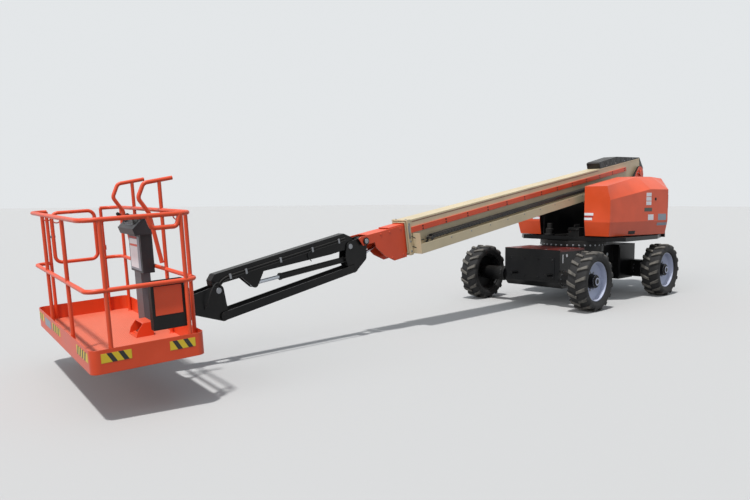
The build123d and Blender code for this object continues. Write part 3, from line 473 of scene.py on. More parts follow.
for i, vertex in enumerate(lug_mesh.vertices):
    above_floor = math.hypot(vertex.co.x, vertex.co.z) - tread_floor
    high.data[i].value = max(0.0, min(1.0, above_floor / tread_depth))
lug_pattern = put_in_scene(bpy.data.objects.new("lug_pattern", lug_mesh))

ring_tree, ring_in = new_tree("lugs_round_tyre", Lug="Object", Count="Int", Lead="Float", Material="Material")
spread = add_node(ring_tree, "GeometryNodePoints", [(ring_in["Count"], "Count")])
number = add_node(ring_tree, "GeometryNodeInputIndex")
whole_turn = add_node(ring_tree, "Math", [(ring_in["Count"], 1)], {0: math.tau}, operation="DIVIDE")
swing = add_node(ring_tree, "Math", [(number, 0), (whole_turn, 1), (ring_in["Lead"], 2)],
                 operation="MULTIPLY_ADD")
spin_by = add_node(ring_tree, "CombineXYZ", [(swing, "Y")])
shape_in = add_node(ring_tree, "GeometryNodeObjectInfo", [(ring_in["Lug"], "Object")])
lugs_in = add_node(ring_tree, "GeometryNodeInstanceOnPoints", [(spread, "Points"),
        (shape_in.outputs["Geometry"], "Instance"), (spin_by, "Rotation")])
with_carcass = add_node(ring_tree, "GeometryNodeJoinGeometry", [(lugs_in, 0), (ring_in["Geometry"], 0)])
end_tree(ring_tree, with_carcass, ring_in["Material"])

# the carcass's section: distance from the middle plane, radius
carcass_section = [(-115, rim_radius), (-117, 318), (-124, 322), (-133, 321), (-140, 330), (-150, 346),
                   (-157, 362), (-159, 376), (-158, 388), (-154, 398), (-152, 408), (-146, 417), (-134, 425),
                   (-120, 429), (-60, 431), (0, 431)]
carcass_section += [(-out, radius) for out, radius in reversed(carcass_section[:-1])]
# Sprayed white enamel, thick and slightly blue, with mud splashed on the dish.
wheel_enamel = painted("white_wheel_enamel", "#C6CCE2", "#8B8E98", dust=0.35)
# The backs of the wheels are drawn black from just behind the dish: painted shade where they face in under
# the chassis.
tree = wheel_enamel.node_tree
shader = tree.nodes["Principled BSDF"]
across = add_node(tree, "SeparateXYZ", [(add_node(tree, "TexCoord").outputs["Object"], 0)])
from_middle = add_node(tree, "Math", [(across.outputs[1], 0)], {1: slew_centre.y}, operation="SUBTRACT")
off_middle = add_node(tree, "Math", [(from_middle, 0)], operation="ABSOLUTE")
at_back = add_node(tree, "Math", [(off_middle, 0)], {1: (half_track - 2) / 1000}, operation="LESS_THAN")
enamel = shader.inputs["Base Color"].links[0].from_socket
# black on the wheels' backs: painted shade
back_painted_shade = add_node(tree, "Mix", [(at_back, "Factor"), (enamel, 6)], {7: colour("#070708")}, data_type="RGBA")
tree.links.new(back_painted_shade.outputs[2], shader.inputs["Base Color"])
# Black enamel on turned steel: half matt, with a little dust.
hub_enamel = painted("black_hub_enamel", "#070708", "#2A2A2C", roughness=0.4, dust=0.12, gloss=0.22)
for name, end, side in wheel_spots:
    centre = Vector((end * axle_x, side * half_track, axle_z))
    carcass = bmesh.new()
    loops = []
    for out, radius in carcass_section:
        loops.append([carcass.verts.new(centre + Vector((x, out, z)))
                      for x, z in circle(carcass_sides, radius)])
    for near, far in zip(loops, loops[1:] + loops[:1]):
        for i in range(carcass_sides):
            j = (i + 1) % carcass_sides
            carcass.faces.new((near[i], far[i], far[j], near[j]))
    carcass_mesh = as_mesh("carcass", carcass)
    carcass_mesh.transform(Matrix.Scale(0.001, 4) @ Matrix.Translation(-centre))
    carcass_mesh.attributes.new("tread_height", "FLOAT", "POINT")
    whole_tyre = grow("tyre_with_lugs_" + name, carcass_mesh, ring_tree, Lug=lug_pattern, Count=lug_count,
                      Lead=0.3 + 0.1 * end + 0.05 * side, Material=rubber)
    whole_tyre.data.transform(Matrix.Translation(slew_centre + centre / 1000))
    whole_tyre.data.shade_smooth()
    whole_tyre.data.set_sharp_from_angle(angle=math.radians(30))
    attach(whole_tyre, "wheel_" + name)
    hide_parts("tyre_" + name)
    finish_nodes(wheel_enamel, "rim_" + name)
    dish = side * 9.2
    hub = bmesh.new()
    turned(hub, centre + Vector((0, dish, 0)), (0, side, 0), [(0.3, 118), (10, 118), (14, 106), (60, 104),
            (84, 104), (91, 98), (91.6, 70), (106, 66), (111, 60), (112.6, 30)], 48)
    for i in range(3):
        angle = math.tau * (i / 3 + 0.05)
        turned(hub, centre + Vector((84 * math.cos(angle), dish + side * 90, 84 * math.sin(angle))),
               (0, side, 0), [(0, 7), (8, 7)], 6)
    make_piece("drive_hub_" + name, hub, hub_enamel, "wheel_" + name, smooth=True)
    nuts = [(centre + Vector((dx, dish, dz)), (0, side, 0)) for dx, dz in circle(nut_count, nut_circle)]
    screws("wheel_nuts_" + name, nuts, 24, 18, zinc_plate, "wheel_" + name)
    valve = bmesh.new()
    turned(valve, centre + Vector((235, dish + side * 30, 60)), (0.3, side, 0),
           [(0, 5), (30, 5), (32, 7), (42, 7)], 12)
    make_piece("tyre_valve_" + name, valve, hub_enamel, "wheel_" + name)
bpy.data.objects.remove(lug_pattern)

# The turntable
# A thick steel deck with two tall plates that carry the boom's pivot pin, welded and sprayed black,
# with orange cheeks and pin caps. The slewing motor and valves are bolted to the deck between them.
deck_top = 1080.5
plate_outer = 185
pivot = (-2150, 2220)
# Orange enamel, sprayed thick and polished by rain, paler where the sun has bleached it.
orange_enamel = painted("orange_enamel", "#E44A1C", "#7A3A24", dust=0.14)
finish_nodes(black_enamel, "turntable_frame")
pin_caps = bmesh.new()
for side in (-1, 1):
    face = side * (plate_outer + 20)
    turned(pin_caps, (pivot[0], face, pivot[1]), (0, side, 0), [(0, 62), (9, 62), (12, 56)], 32)
    plate(pin_caps, rectangle(pivot[0] + 55, pivot[0] + 115, pivot[1] - 22, pivot[1] + 22),
          *off(side, plate_outer, plate_outer + 10), axis="Y")
make_piece("pivot_pin_caps", pin_caps, orange_enamel, "turntable", bevel_mm=2)
upright_face = bmesh.new()
for side in (-1, 1):
    plate(upright_face, [(-2295, 2195), (-2262, 2310), (-2180, 2352), (-2090, 2345), (-1985, 2225),
                         (-1900, 2085), (-2230, 2085)], *off(side, plate_outer + 0.2, plate_outer + 4),
          axis="Y")
make_piece("upright_cheeks", upright_face, orange_enamel, "turntable", bevel_mm=2)
screws("pivot_keeper_screws", [((pivot[0] + dx, side * (plate_outer + 12), pivot[1]), (0, side, 0))
                               for side in (-1, 1) for dx in (72, 98)], 16, 8, zinc_plate, "turntable")
drives = bmesh.new()
turned(drives, (280, -300, deck_top), (0, 0, 1), [(0, 92), (30, 92), (34, 70), (120, 70), (126, 48),
        (210, 48), (214, 40)], 28)
block(drives, (90, 80, deck_top), (300, 280, deck_top + 150))
for i in range(4):
    turned(drives, (300, 105 + 50 * i, deck_top + 110), (1, 0, 0), [(0, 16), (34, 16), (36, 10), (60, 10)],
           14)
    turned(drives, (118 + 48 * i, 180, deck_top + 150), (0, 0, 1), [(0, 17), (42, 17), (46, 9), (64, 9)], 14)
block(drives, (-260, 230, deck_top), (40, 340, deck_top + 90))
make_piece("slew_drive_and_valves", drives, black_casting, "turntable", bevel_mm=2)

# Counterweight
# An iron casting round the tail, rough from its mould under thick black paint, hung on the frame
# with four studs and lifted by two eyes in its top.
tail = -2460
counterweight_top = 1560
# Sand-cast iron under thick black paint, pitted by its mould. The pits are drawn 11 mm wide, coarser
# than real ones, so that they show.
cast_iron = painted("sand_cast_iron", "#121214", "#3C3936", roughness=0.6, wear=0.7, dust=0.2, gloss=0.25)
tree = cast_iron.node_tree
pits = add_node(tree, "TexNoise", [(add_node(tree, "TexCoord").outputs["Object"], "Vector")],
                {"Scale": 90.0, "Detail": 6.0, "Roughness": 0.7})
rough_skin = add_node(tree, "Bump", [(pits, "Height")], {"Strength": 0.5, "Distance": 0.004})
tree.links.new(rough_skin.outputs[0], tree.nodes["Principled BSDF"].inputs["Normal"])
finish_nodes(cast_iron, "counterweight")
screws("counterweight_studs", [((tail + 40, side * y, z), (-0.35, side * 0.14, 0)) for side in (-1, 1)
                               for y, z in ((250, 1180), (250, 1400))], 36, 16, black_casting, "turntable")
lifting = bmesh.new()
for side in (-1, 1):
    plate(lifting, [(-2160, counterweight_top), (-2040, counterweight_top), (-2060, counterweight_top + 70),
                    (-2085, counterweight_top + 92), (-2115, counterweight_top + 92),
                    (-2140, counterweight_top + 70)], side * 500 - 12, side * 500 + 12, axis="Y")
make_piece("lifting_eyes", lifting, black_enamel, "turntable", bevel_mm=4)

# The hoods
# Two moulded covers of glass-fibre, sprayed orange, each hinged beside the boom and held down by a
# latch, with blank labels stuck on them and a grille of slats in the left one's tail.
# Sprayed glass-fibre: the same orange, softer in its gloss, with a faint orange-peel.
hood_enamel = painted("sprayed_glass_fibre", "#E65222", "#8E3A22", roughness=0.3, wear=0.25, dust=0.1)
finish_nodes(hood_enamel, "hood_left", "hood_right")
# Moulded nylon: black, matt and even, grey where it is touched.
grille_black = painted("moulded_black_nylon", "#0B0B0C", "#26262A", roughness=0.5, dust=0.1, gloss=0.25)
# Coloured vinyl film: flat, half glossy and a little faded.
red_vinyl = painted("red_vinyl", "#B3261C", "#8A3A30", roughness=0.4, wear=0.2)
grey_vinyl = painted("grey_vinyl", "#8D959F", "#6E7278", roughness=0.4, wear=0.2, dust=0.08)
green_vinyl = painted("dark_green_vinyl", "#3C4438", "#4A5A50", roughness=0.4, wear=0.2, dust=0.1)
hood_front = 400
hood_front_half = 890
hood_band = 1335
hood_flare = 230 / 1670
hood_undercut = 45 / 235


def on_side(side, x, z):
    """A point on a hood's long wall, which flares backwards and is undercut below its band."""
    y = hood_front_half + (hood_front - x) * hood_flare - max(0, hood_band - z) * hood_undercut
    return Vector((x, side * y, z))


def on_tail(side, u, z):
    """A point on the wall behind it that turns in to the tail: u along it, from 0 to 1."""
    return Vector((-1270 - 510 * u, side * (1120 - 215 * u), z))


def film(bm, corners, side, stand=1.6):
    """A thin film, slat or panel over four corners of a hood's wall, raised away from its inside."""
    out = (corners[1] - corners[0]).cross(corners[3] - corners[0]).normalized()
    if out.dot(corners[0] - Vector((-700, side * 600, 1500))) < 0:
        out = -out
    slab(bm, *[[bm.verts.new(c + out * height) for c in corners] for height in (0.2, stand)])


def side_film(bm, side, x0, x1, z0, z1, stand=1.6):
    """A film on the long wall, square to the ground."""
    film(bm, [on_side(side, x, z) for x, z in rectangle(x0, x1, z0, z1)], side, stand)


for side, name in ((1, "left"), (-1, "right")):
    body = "hood_" + name
    pale, red, grey, green, black = [bmesh.new() for _ in range(5)]
    for bm, z0, z1, wide in ((pale, 1366, 1408, 572), (red, 1411, 1440, 590), (pale, 1443, 1487, 594)):
        plate(bm, rectangle(side * 432, side * wide, z0, z1), hood_front + 0.2, hood_front + 1.6, axis="X")
    latch = on_side(side, -884, 1716)
    normal = Vector((hood_flare, side, 0)).normalized()
    turned(black, latch - normal * 2, normal, [(0, 26), (6, 26), (9, 18), (10, 8)], 20)
    side_film(black, side, -160, -350, 1124, 1180, 2.5)
    side_film(black, side, -1262, -1268, 1120, 1840, 0.9)
    if side > 0:
        for z0, z1 in ((1612, 1676), (1686, 1750), (1760, 1824)):
            side_film(pale, side, -606, -756, z0, z1)
        side_film(pale, side, -668, -830, 1354, 1451)
        side_film(green, side, -556, -781, 1505, 1567)
        side_film(grey, side, -970, -1219, 1347, 1458)
        side_film(grey, side, -955, -1255, 1255, 1305)
        for i in range(9):
            slat = 0.62 + 0.035 * i
            film(black, [on_tail(side, u, z) for u, z in rectangle(slat, slat + 0.02, 1545, 1790)], side, 3)
    for kind, drawn, vinyl in (("pale", pale, pale_vinyl), ("red", red, red_vinyl),
                               ("grey", grey, grey_vinyl), ("green", green, green_vinyl),
                               ("black", black, grille_black)):
        if len(drawn.faces):
            make_piece("hood_%s_%s_plates" % (name, kind), drawn, vinyl, body)
        else:
            drawn.free()
    for x in (-1360, -930):
        hinge = bmesh.new()
        turned(hinge, (x - 42, side * 416, 2085), (1, 0, 0), [(0, 10.5), (84, 10.5)], 16)
        make_piece("hinge_barrel_%s_%d" % (name, -x), hinge, black_enamel, body)

# Engine and tanks
# A cast diesel engine in the left hood, with its valve cover, fan and exhaust bolted on, and a
# welded steel tank in the right one, held by straps and filled through two caps in its top.
finish_nodes(black_casting, "engine_block")
engine_top = 1640.5
fan_y, fan_z = 690, 1330
engine = bmesh.new()
block(engine, (-1120, 560, engine_top), (-520, 760, 1720))
for i in range(4):
    turned(engine, (-1050 + 150 * i, 660, 1720), (0, 0, 1), [(0, 26), (16, 26), (18, 12), (34, 12)], 16)
turned(engine, (-350, fan_y, fan_z), (1, 0, 0), [(0, 60), (26, 60), (30, 150), (44, 150), (46, 60), (70, 60)],
       32)
for dy, dz in circle(6, 150):
    block(engine, (-300, fan_y + dy - 24, fan_z + dz - 24), (-290, fan_y + dy + 24, fan_z + dz + 24))
for z in (1160, 1240, 1320, 1400, 1480):
    block(engine, (-1180, 880, z), (-420, 892, z + 26))
turned(engine, (-760, 600, 1720), (0, 0, 1), [(0, 75), (90, 75), (100, 60)], 28)
make_piece("engine_castings", engine, black_casting, "turntable", bevel_mm=3)
# Steel in grey primer: matt, darker where it is rubbed.
steel_grey = painted("grey_primed_steel", "#5A5E63", "#2E2F31", roughness=0.45)
pipes = bmesh.new()
for i in range(4):
    turned(pipes, (-1060 + 160 * i, 880, 1560), (0, 1, 0), [(0, 24), (60, 24)], 16)
turned(pipes, (-1110, 955, 1560), (1, 0, 0), [(0, 34), (640, 34)], 20)
turned(pipes, (-1160, 660, 1745), (1, 0, 0), [(0, 70), (10, 84), (250, 84), (260, 70)], 28)
make_piece("exhaust_and_air_cleaner", pipes, steel_grey, "turntable", bevel_mm=2, smooth=True)
finish_nodes(steel_grey, "tank")
tank_top = 1500.5
tank_trim = bmesh.new()
for x in (-1050, -400):
    block(tank_trim, (x, -864, deck_top), (x + 46, -860, tank_top))
    block(tank_trim, (x, -862, tank_top), (x + 46, -500, tank_top + 3.5))
for x in (-900, -300):
    turned(tank_trim, (x, -680, tank_top), (0, 0, 1), [(0, 46), (24, 46), (26, 54), (50, 54), (54, 46)], 24)
make_piece("tank_straps_and_caps", tank_trim, black_enamel, "turntable", bevel_mm=1.5)

# The boom
# Three rectangular tubes of folded and welded steel that slide in each other on nylon pads, cream
# but for the orange inner one, with an orange rail along the side and a cream tray below it.


def tilted(x, y, z, degrees):
    """A place at a point of the machine, its front tilted down."""
    return machine_place @ Matrix.Translation((x, y, z)) @ Matrix.Rotation(math.radians(degrees), 4, "Y")


boom_place = tilted(pivot[0], 0, pivot[1], degrees=9.2)
places.update(dict.fromkeys(("boom", "boom_fly", "level_bracket"), boom_place))
boom_half = 130
boom_low, boom_high = -170, 280
boom_front = 6600
# Cream enamel, chalky with age, with rubbed edges and grey dust in the corners.
cream_enamel = painted("cream_enamel", "#D6C4A0", "#8D8468", wear=0.6, dust=0.2)
finish_nodes(cream_enamel, "boom_base", "boom_mid", "hose_tray")
finish_nodes(orange_enamel, "boom_rail", "boom_fly")
# Bent sheet steel under thick black paint, with creases 170 mm apart where it has been stood on.
dented_sheet = painted("dented_black_sheet", "#131416", "#4A4A4E", roughness=0.35, wear=0.6, dust=0.12,
                       gloss=0.35)
tree = dented_sheet.node_tree
dents = add_node(tree, "TexNoise", [(add_node(tree, "TexCoord").outputs["Object"], "Vector")],
                 {"Scale": 6.0, "Detail": 2.0})
creases = add_node(tree, "Bump", [(dents, "Height")], {"Strength": 0.6, "Distance": 0.05})
tree.links.new(creases.outputs[0], tree.nodes["Principled BSDF"].inputs["Normal"])
finish_nodes(dented_sheet, "boom_cover")
collar_middle = boom_front - 30
collar_spots = [((collar_middle, side * (boom_half + 10), z), (0, side, 0)) for side in (-1, 1)
                for z in (-130, 0, 230)]
collar_spots += [((collar_middle, y, boom_high + 10), (0, 0, 1)) for y in (-90, 90)]
collar_spots += [((collar_middle, y, boom_low - 10), (0, 0, -1)) for y in (-90, 90)]
screws("collar_pad_screws", collar_spots, 19, 12, zinc_plate, "boom")
screws("rail_screws", [((560 + 480 * i, boom_half + 20, z), (0, 1, 0)) for i in range(13)
                       for z in (128, 165)], 15, 7, black_enamel, "boom")
screws("tray_screws", [((1060 + 440 * i, boom_half + 140, -70), (0, 1, 0)) for i in range(12)], 13, 6,
       zinc_plate, "boom")
cover_spots = [((x, side * 128, 305), (0, side, 0)) for x in (150, 500, 850, 1200) for side in (-1, 1)]
screws("boom_cover_screws", cover_spots, 17, 7, zinc_plate, "boom")
# Oxblood vinyl: a thin flat line under the tube's upper edge, between the two weld seams of each side.
stripe_vinyl = painted("oxblood_vinyl", "#7E2418", "#A04A38", roughness=0.4, wear=0.3)
stripes = bmesh.new()
for side in (-1, 1):
    plate(stripes, rectangle(1520, 6500, boom_high - 34, boom_high - 26),
          *off(side, boom_half, boom_half + 1.2), axis="Y")
make_piece("boom_pinstripes", stripes, stripe_vinyl, "boom")
seams = bmesh.new()
for side in (-1, 1):
    for z in (boom_low + 22, boom_high - 14):
        turned(seams, (-108, side * (boom_half - 1), z), (1, 0, 0), [(0, 3.2), (6640, 3.2)], 8)
make_piece("boom_weld_seams", seams, cream_enamel, "boom", smooth=True)
ribs = bmesh.new()
for x in (2300, 3400, 4500, 5600):
    plate(ribs, [(boom_half, boom_low + 8), (boom_half + 134, boom_low + 8), (boom_half, boom_low + 60)], x,
          x + 6, axis="X")
for side in (-1, 1):
    plate(ribs, [(1450, boom_low - 62), (1950, boom_low - 62), (2050, boom_low), (1350, boom_low)],
          *off(side, 77, 84), axis="Y")
make_piece("boom_gussets", ribs, cream_enamel, "boom", bevel_mm=1.5)

# The power track
# A chain of black nylon links in the tray that carries the hoses to the moving sections. It folds
# over at its front end. On the machine it pays out as the boom extends; here it is one fixed loop on the base
# section.
track_rear, track_front = 1050, 6300
track_low, track_high = -161.7, 30
track_width, track_depth = 90, 46
track_middle = boom_half + (140 - 8) / 2
track_tree, track_in = new_tree("track_links", Pitch="Float", Depth="Float", Width="Float",
                                Material="Material")
as_curve = add_node(track_tree, "GeometryNodeMeshToCurve", [(track_in["Geometry"], 0)])
stations = add_node(track_tree, "GeometryNodeCurveToPoints", [(as_curve, 0), (track_in["Pitch"], "Length")],
                    mode="LENGTH")
link_length = add_node(track_tree, "Math", [(track_in["Pitch"], 0)], {1: 0.86}, operation="MULTIPLY")
cheek_size = add_node(track_tree, "CombineXYZ", [(link_length, "X"), (track_in["Depth"], "Z")], {"Y": 0.008})
cheek = add_node(track_tree, "GeometryNodeMeshCube", [(cheek_size, "Size")])
bar_size = add_node(track_tree, "CombineXYZ", [(track_in["Width"], "Y")], {"X": 0.016, "Z": 0.006})
bar = add_node(track_tree, "GeometryNodeMeshCube", [(bar_size, "Size")])
moves = []
for shape, span, axis in ((cheek, "Width", "Y"), (bar, "Depth", "Z")):
    half = add_node(track_tree, "Math", [(track_in[span], 0)], {1: 0.5, 2: -0.004}, operation="MULTIPLY_ADD")
    for way in (1.0, -1.0):
        away = add_node(track_tree, "Math", [(half, 0)], {1: way}, operation="MULTIPLY")
        shift = add_node(track_tree, "CombineXYZ", [(away, axis)])
        moves.append(add_node(track_tree, "GeometryNodeTransform", [(shape, 0), (shift, "Translation")]))
one_link = add_node(track_tree, "GeometryNodeJoinGeometry", [(move, 0) for move in moves])
line_up = add_node(track_tree, "FunctionNodeAlignRotationToVector", [(stations.outputs["Tangent"], "Vector")],
                   axis="X", pivot_axis="Y")
set_links = add_node(track_tree, "GeometryNodeInstanceOnPoints", [(stations, "Points"),
        (one_link, "Instance"), (line_up, "Rotation")])
end_tree(track_tree, set_links, track_in["Material"])
half_track_depth = track_depth / 2
bend = (track_high - track_low) / 2
line = [(track_rear + 30, track_low + half_track_depth), (track_front - bend, track_low + half_track_depth)]
line += [(track_front - bend + (bend - half_track_depth) * math.sin(math.pi * i / 12),
          track_low + bend - (bend - half_track_depth) * math.cos(math.pi * i / 12)) for i in range(1, 12)]
line += [(track_front - bend, track_high - half_track_depth), (track_rear + 30,
        track_high - half_track_depth)]
path_mesh = bpy.data.meshes.new("track_path")
path_mesh.from_pydata([(x / 1000, 0, z / 1000) for x, z in line], [(i, i + 1) for i in range(len(line) - 1)],
                      [])
# Moulded nylon: black and matt, greyed by dust.
nylon = painted("black_nylon", "#101012", "#2C2C2E", roughness=0.45)
track = grow("power_track_links", path_mesh, track_tree, Pitch=0.062, Depth=track_depth / 1000,
             Width=track_width / 1000, Material=nylon)
track.data.transform(boom_place @ Matrix.Scale(1000, 4) @ Matrix.Translation((0, track_middle / 1000, 0)))
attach(track, "boom")
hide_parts("power_track")

# The cylinders
# Drawn steel tubes with welded eyes under black paint, and ground steel rods, hard-chromed so that
# they slide in their seals.
finish_nodes(black_enamel, "lift_barrel", "level_barrel", "jib_barrel")
finish_nodes(chrome, "lift_rod", "level_rod", "jib_rod")

# The nose and its bracket
# Thick plates at the boom's end hold a black bracket on a pin. It keeps the basket level, and the
# jib, its link and two cylinders are pinned in it.
nose_pin = (7330, 162)
finish_nodes(black_enamel, "level_bracket")
nose_spots = [((x, side * 106, z), (0, side, 0)) for side in (-1, 1) for x, z in ((6700, 190), (6700, -150),
        (6900, 190), (6900, -150), (7060, 190))]
screws("nose_plate_screws", nose_spots, 22, 10, orange_enamel, "boom_fly")
keepers = bmesh.new()
for side in (-1, 1):
    turned(keepers, (nose_pin[0], side * 119, nose_pin[1]), (0, side, 0), [(0, 30), (6, 30), (8, 22)], 24)
make_piece("nose_pin_heads", keepers, zinc_plate, "level_bracket")
nose_seam = bmesh.new()
for side in (1, -1):
    plate(nose_seam, rectangle(6640, 6652, -185, 225), *off(side, 106.2, 109), axis="Y")
make_piece("nose_plate_edges", nose_seam, orange_enamel, "boom_fly", bevel_mm=1)
shim = bmesh.new()
plate(shim, rectangle(6566, 6594, 40, 214), 140, 145, axis="Y")
make_piece("collar_shim_plate", shim, zinc_plate, "boom", bevel_mm=1)

# The jib
# A black tapered arm and a flat link below it, welded from plate and pinned at both ends, that lift
# the basket and keep it level. Two hoses are clamped along the arm and short ones loop at its ends
# and at the boom's collar.
jib_place = tilted(5330, 0, 1150, degrees=11.4)
places.update(dict.fromkeys(("jib_arm", "platform_support"), jib_place))
finish_nodes(black_enamel, "jib_arm", "lower_link", "platform_support")
finish_nodes(black_casting, "platform_mount")
jib_length = 1860
caps = bmesh.new()
for x in (0, jib_length):
    for side in (-1, 1):
        turned(caps, (x, side * 68, 0), (0, side, 0), [(0, 32), (3, 32), (4, 30)], 24)
make_piece("jib_pin_caps", caps, zinc_plate, "jib_arm", bevel_mm=0.5)
# Rubber hose: matt black with a soft grey bloom where it has been rubbed.
hose_rubber = painted("hose_rubber", "#141517", "#4A4B4E", roughness=0.55, wear=0.2, dust=0.12, gloss=0.3)


def hose(name, points, diameter_mm, body):
    """A hose through a few points, smooth between them, that hangs between its two fittings."""
    place = place_of(body)
    line = bpy.data.curves.new(name, "CURVE")
    line.dimensions = "3D"
    run = line.splines.new("NURBS")
    run.points.add(len(points) - 1)
    for knot, point in zip(run.points, points):
        knot.co = (*(place @ Vector(point)), 1)
    run.order_u = 3
    run.use_endpoint_u = True
    run.resolution_u = 8
    line.bevel_depth = diameter_mm / 2000
    line.bevel_resolution = 3
    line.use_fill_caps = True
    line.materials.append(hose_rubber)
    made = put_in_scene(bpy.data.objects.new(name, line))
    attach(made, body)


for lift in (120, 92):
    hose("jib_hose_%d" % lift, [(60, 58, lift), (500, 58, lift), (1100, 58, lift), (1640, 58, lift),
                                (1790, 58, lift - 8), (1834, 58, lift - 52)], 16, "jib_arm")
hose("jib_tip_hose", [(1834, 78, 34), (1850, 92, 92), (1920, 118, 96), (2000, 124, 10), (2040, 112, -90),
                      (2062, 60, -150)], 13, "platform_support")
hose("jib_side_hose", [(430, 57, 104), (500, 59, 108), (600, 62, 110), (652, 64, 62), (634, 62, 0),
                       (606, 50, -22)], 10, "jib_arm")
hose("collar_hose_upper", [(6324, 137, -20), (6336, 172, -20), (6420, 184, -8), (6500, 184, 22),
                           (6540, 172, 50), (6546, 138, 66)], 11, "boom")
hose("collar_hose_lower", [(6324, 137, -90), (6336, 172, -90), (6420, 184, -104), (6500, 184, -98),
                           (6540, 172, -82), (6548, 138, -70)], 11, "boom")
clamps = bmesh.new()
for x in (150, 560, 1020, 1480, 1680):
    block(clamps, (x, 50, 78), (x + 26, 68, 134))
make_piece("jib_hose_clamps", clamps, zinc_plate, "jib_arm", bevel_mm=2)

# The basket
# A floor of expanded steel on bars, a folded toe board with hazard tape, and rails of bent tube,
# all welded and sprayed orange, with a swing gate at the right end.
basket_turn = math.radians(9.25)
basket_place = tilted(7500, 0, 475, degrees=3.7) @ Matrix.Rotation(-basket_turn, 4, "Z")
places.update(dict.fromkeys(("platform", "gate"), basket_place))
basket_rear, basket_front, basket_left, basket_right = 264, 1167, 1284.5, -1154.5
floor_top = 40
rail_top = 1177
rail_in = 23
finish_nodes(orange_enamel, "toe_board", "platform_rails", "rail_hoops", "gate")
# Expanded steel sheet under bleached enamel: diamonds 40 mm long, shown as raised ridges, with the gaps
# between them painted a darker orange as painted shade.
mesh_enamel = painted("expanded_steel_enamel", "#F0704E", "#A8543C", roughness=0.45, wear=0.5, dust=0.3)
tree = mesh_enamel.node_tree
shader = tree.nodes["Principled BSDF"]
lay = add_node(tree, "Mapping", [(add_node(tree, "TexCoord").outputs["Object"], "Vector")],
               {"Rotation": (0, 0, basket_turn)})
waves = []
for turn in (32, -32):
    aim = add_node(tree, "Mapping", [(lay, "Vector")], {"Rotation": (0, 0, math.radians(turn))})
    waves.append(add_node(tree, "TexWave", [(aim, "Vector")], {"Scale": 14.0}, wave_profile="SIN"))
strands = add_node(tree, "Math", [(waves[0].outputs["Fac"], 0), (waves[1].outputs["Fac"], 1)],
                   operation="MAXIMUM")
# the gaps between the strands get a darker orange: painted shade
gap_shade_mask = add_node(tree, "MapRange", [(strands, 0)], {1: 0.45, 2: 0.6, 3: 1.0, 4: 0.0})
painted_colour = shader.inputs["Base Color"].links[0].from_socket
gap_painted_shade = add_node(tree, "Mix", [(gap_shade_mask, "Factor"), (painted_colour, 6)], {7: colour("#C24A2C")},
                    data_type="RGBA")
tree.links.new(gap_painted_shade.outputs[2], shader.inputs["Base Color"])
raised = add_node(tree, "Bump", [(strands, "Height")], {"Strength": 0.5, "Distance": 0.004})
tree.links.new(raised.outputs[0], shader.inputs["Normal"])
finish_nodes(mesh_enamel, "platform_floor")

# hazard tape: yellow film with slanted black bars, stuck along the toe board's corners
yellow_vinyl = painted("yellow_tape", "#E8C62A", "#A8925A", roughness=0.4, wear=0.4, dust=0.2)
black_vinyl = painted("black_tape", "#101010", "#3A3A38", roughness=0.4, wear=0.4, dust=0.2)
tapes_yellow, tapes_black = bmesh.new(), bmesh.new()
tape_low, tape_high = 84, 158


def tape(start, end, face, axis, sign):
    """Hazard tape on a straight stretch of the toe board, bars slanting forward."""
    plate(tapes_yellow, rectangle(start, end, tape_low, tape_high), *sorted((face, face + sign * 1.0)),
          axis=axis)
    at = start + 20
    while at + 80 < end:
        plate(tapes_black, [(at, tape_low), (at + 38, tape_low), (at + 80, tape_high), (at + 42, tape_high)],
              *sorted((face, face + sign * 1.6)), axis=axis)
        at += 88


for start, end in ((350, 560), (860, 1090)):
    tape(start, end, basket_left, "Y", 1)
    tape(start, end, basket_right, "Y", -1)
for start, end in ((-1080, -820), (-330, 60), (780, 1200)):
    tape(start, end, basket_front, "X", 1)
for start, end in ((-1080, -700), (780, 1200)):
    tape(start, end, basket_rear, "X", -1)
make_piece("hazard_tape_yellow", tapes_yellow, yellow_vinyl, "platform")
make_piece("hazard_tape_black", tapes_black, black_vinyl, "platform")
plain = bmesh.new()
plate(plain, rectangle(-760, -420, 70, 150), basket_front, basket_front + 1.2, axis="X")
make_piece("toe_board_blank_label", plain, grey_vinyl, "platform")
# rings for lanyards, gate latch and feet of the posts
eye_steps = 13
rings = bmesh.new()
for x, y in ((basket_rear + rail_in + 120, basket_left - rail_in), (basket_front - rail_in, -150),
             (basket_front - rail_in, 330)):
    for i in range(eye_steps):
        a0, a1 = math.pi * i / eye_steps, math.pi * (i + 1) / eye_steps
        turned(rings, (x + 34 * math.cos(a0), y, rail_top - 14 - 34 * math.sin(a0)),
               (math.cos(a1) - math.cos(a0), 0, math.sin(a0) - math.sin(a1)), [(0, 5), (8.6, 5)], 8)
make_piece("lanyard_eyes", rings, orange_enamel, "platform", smooth=True)
feet = bmesh.new()
x0, x1 = basket_rear + rail_in, basket_front - rail_in
y0, y1 = basket_right + rail_in, basket_left - rail_in
for x, y in ((x1, -420), (x1, 550), (x1 - 140, y1), (x0 + 93, y1), (1000, y0), (460, y0), (x0, y0 + 160),
             (x0, -430), (x0, 470), (x0, y1 - 160)):
    turned(feet, (x, y, floor_top), (0, 0, 1), [(0, 23), (3, 22), (9, 17.3)], 20)
make_piece("post_weld_beads", feet, orange_enamel, "platform", smooth=True)
latch = bmesh.new()
block(latch, (935, y0 - 12, 900), (1000, y0 + 12, 925))
turned(latch, (950, y0, 925), (0, 0, 1), [(0, 9), (34, 9), (36, 14), (46, 14)], 14)
make_piece("gate_latch", latch, zinc_plate, "gate", bevel_mm=2)

# The console
# A folded steel cabinet on a column with a black moulded head. It carries two levers, switches and
# a red stop button, and a board of blank labels faces whoever stands in the basket.
console_rear = basket_rear + rail_in + 20
console_mid = -35
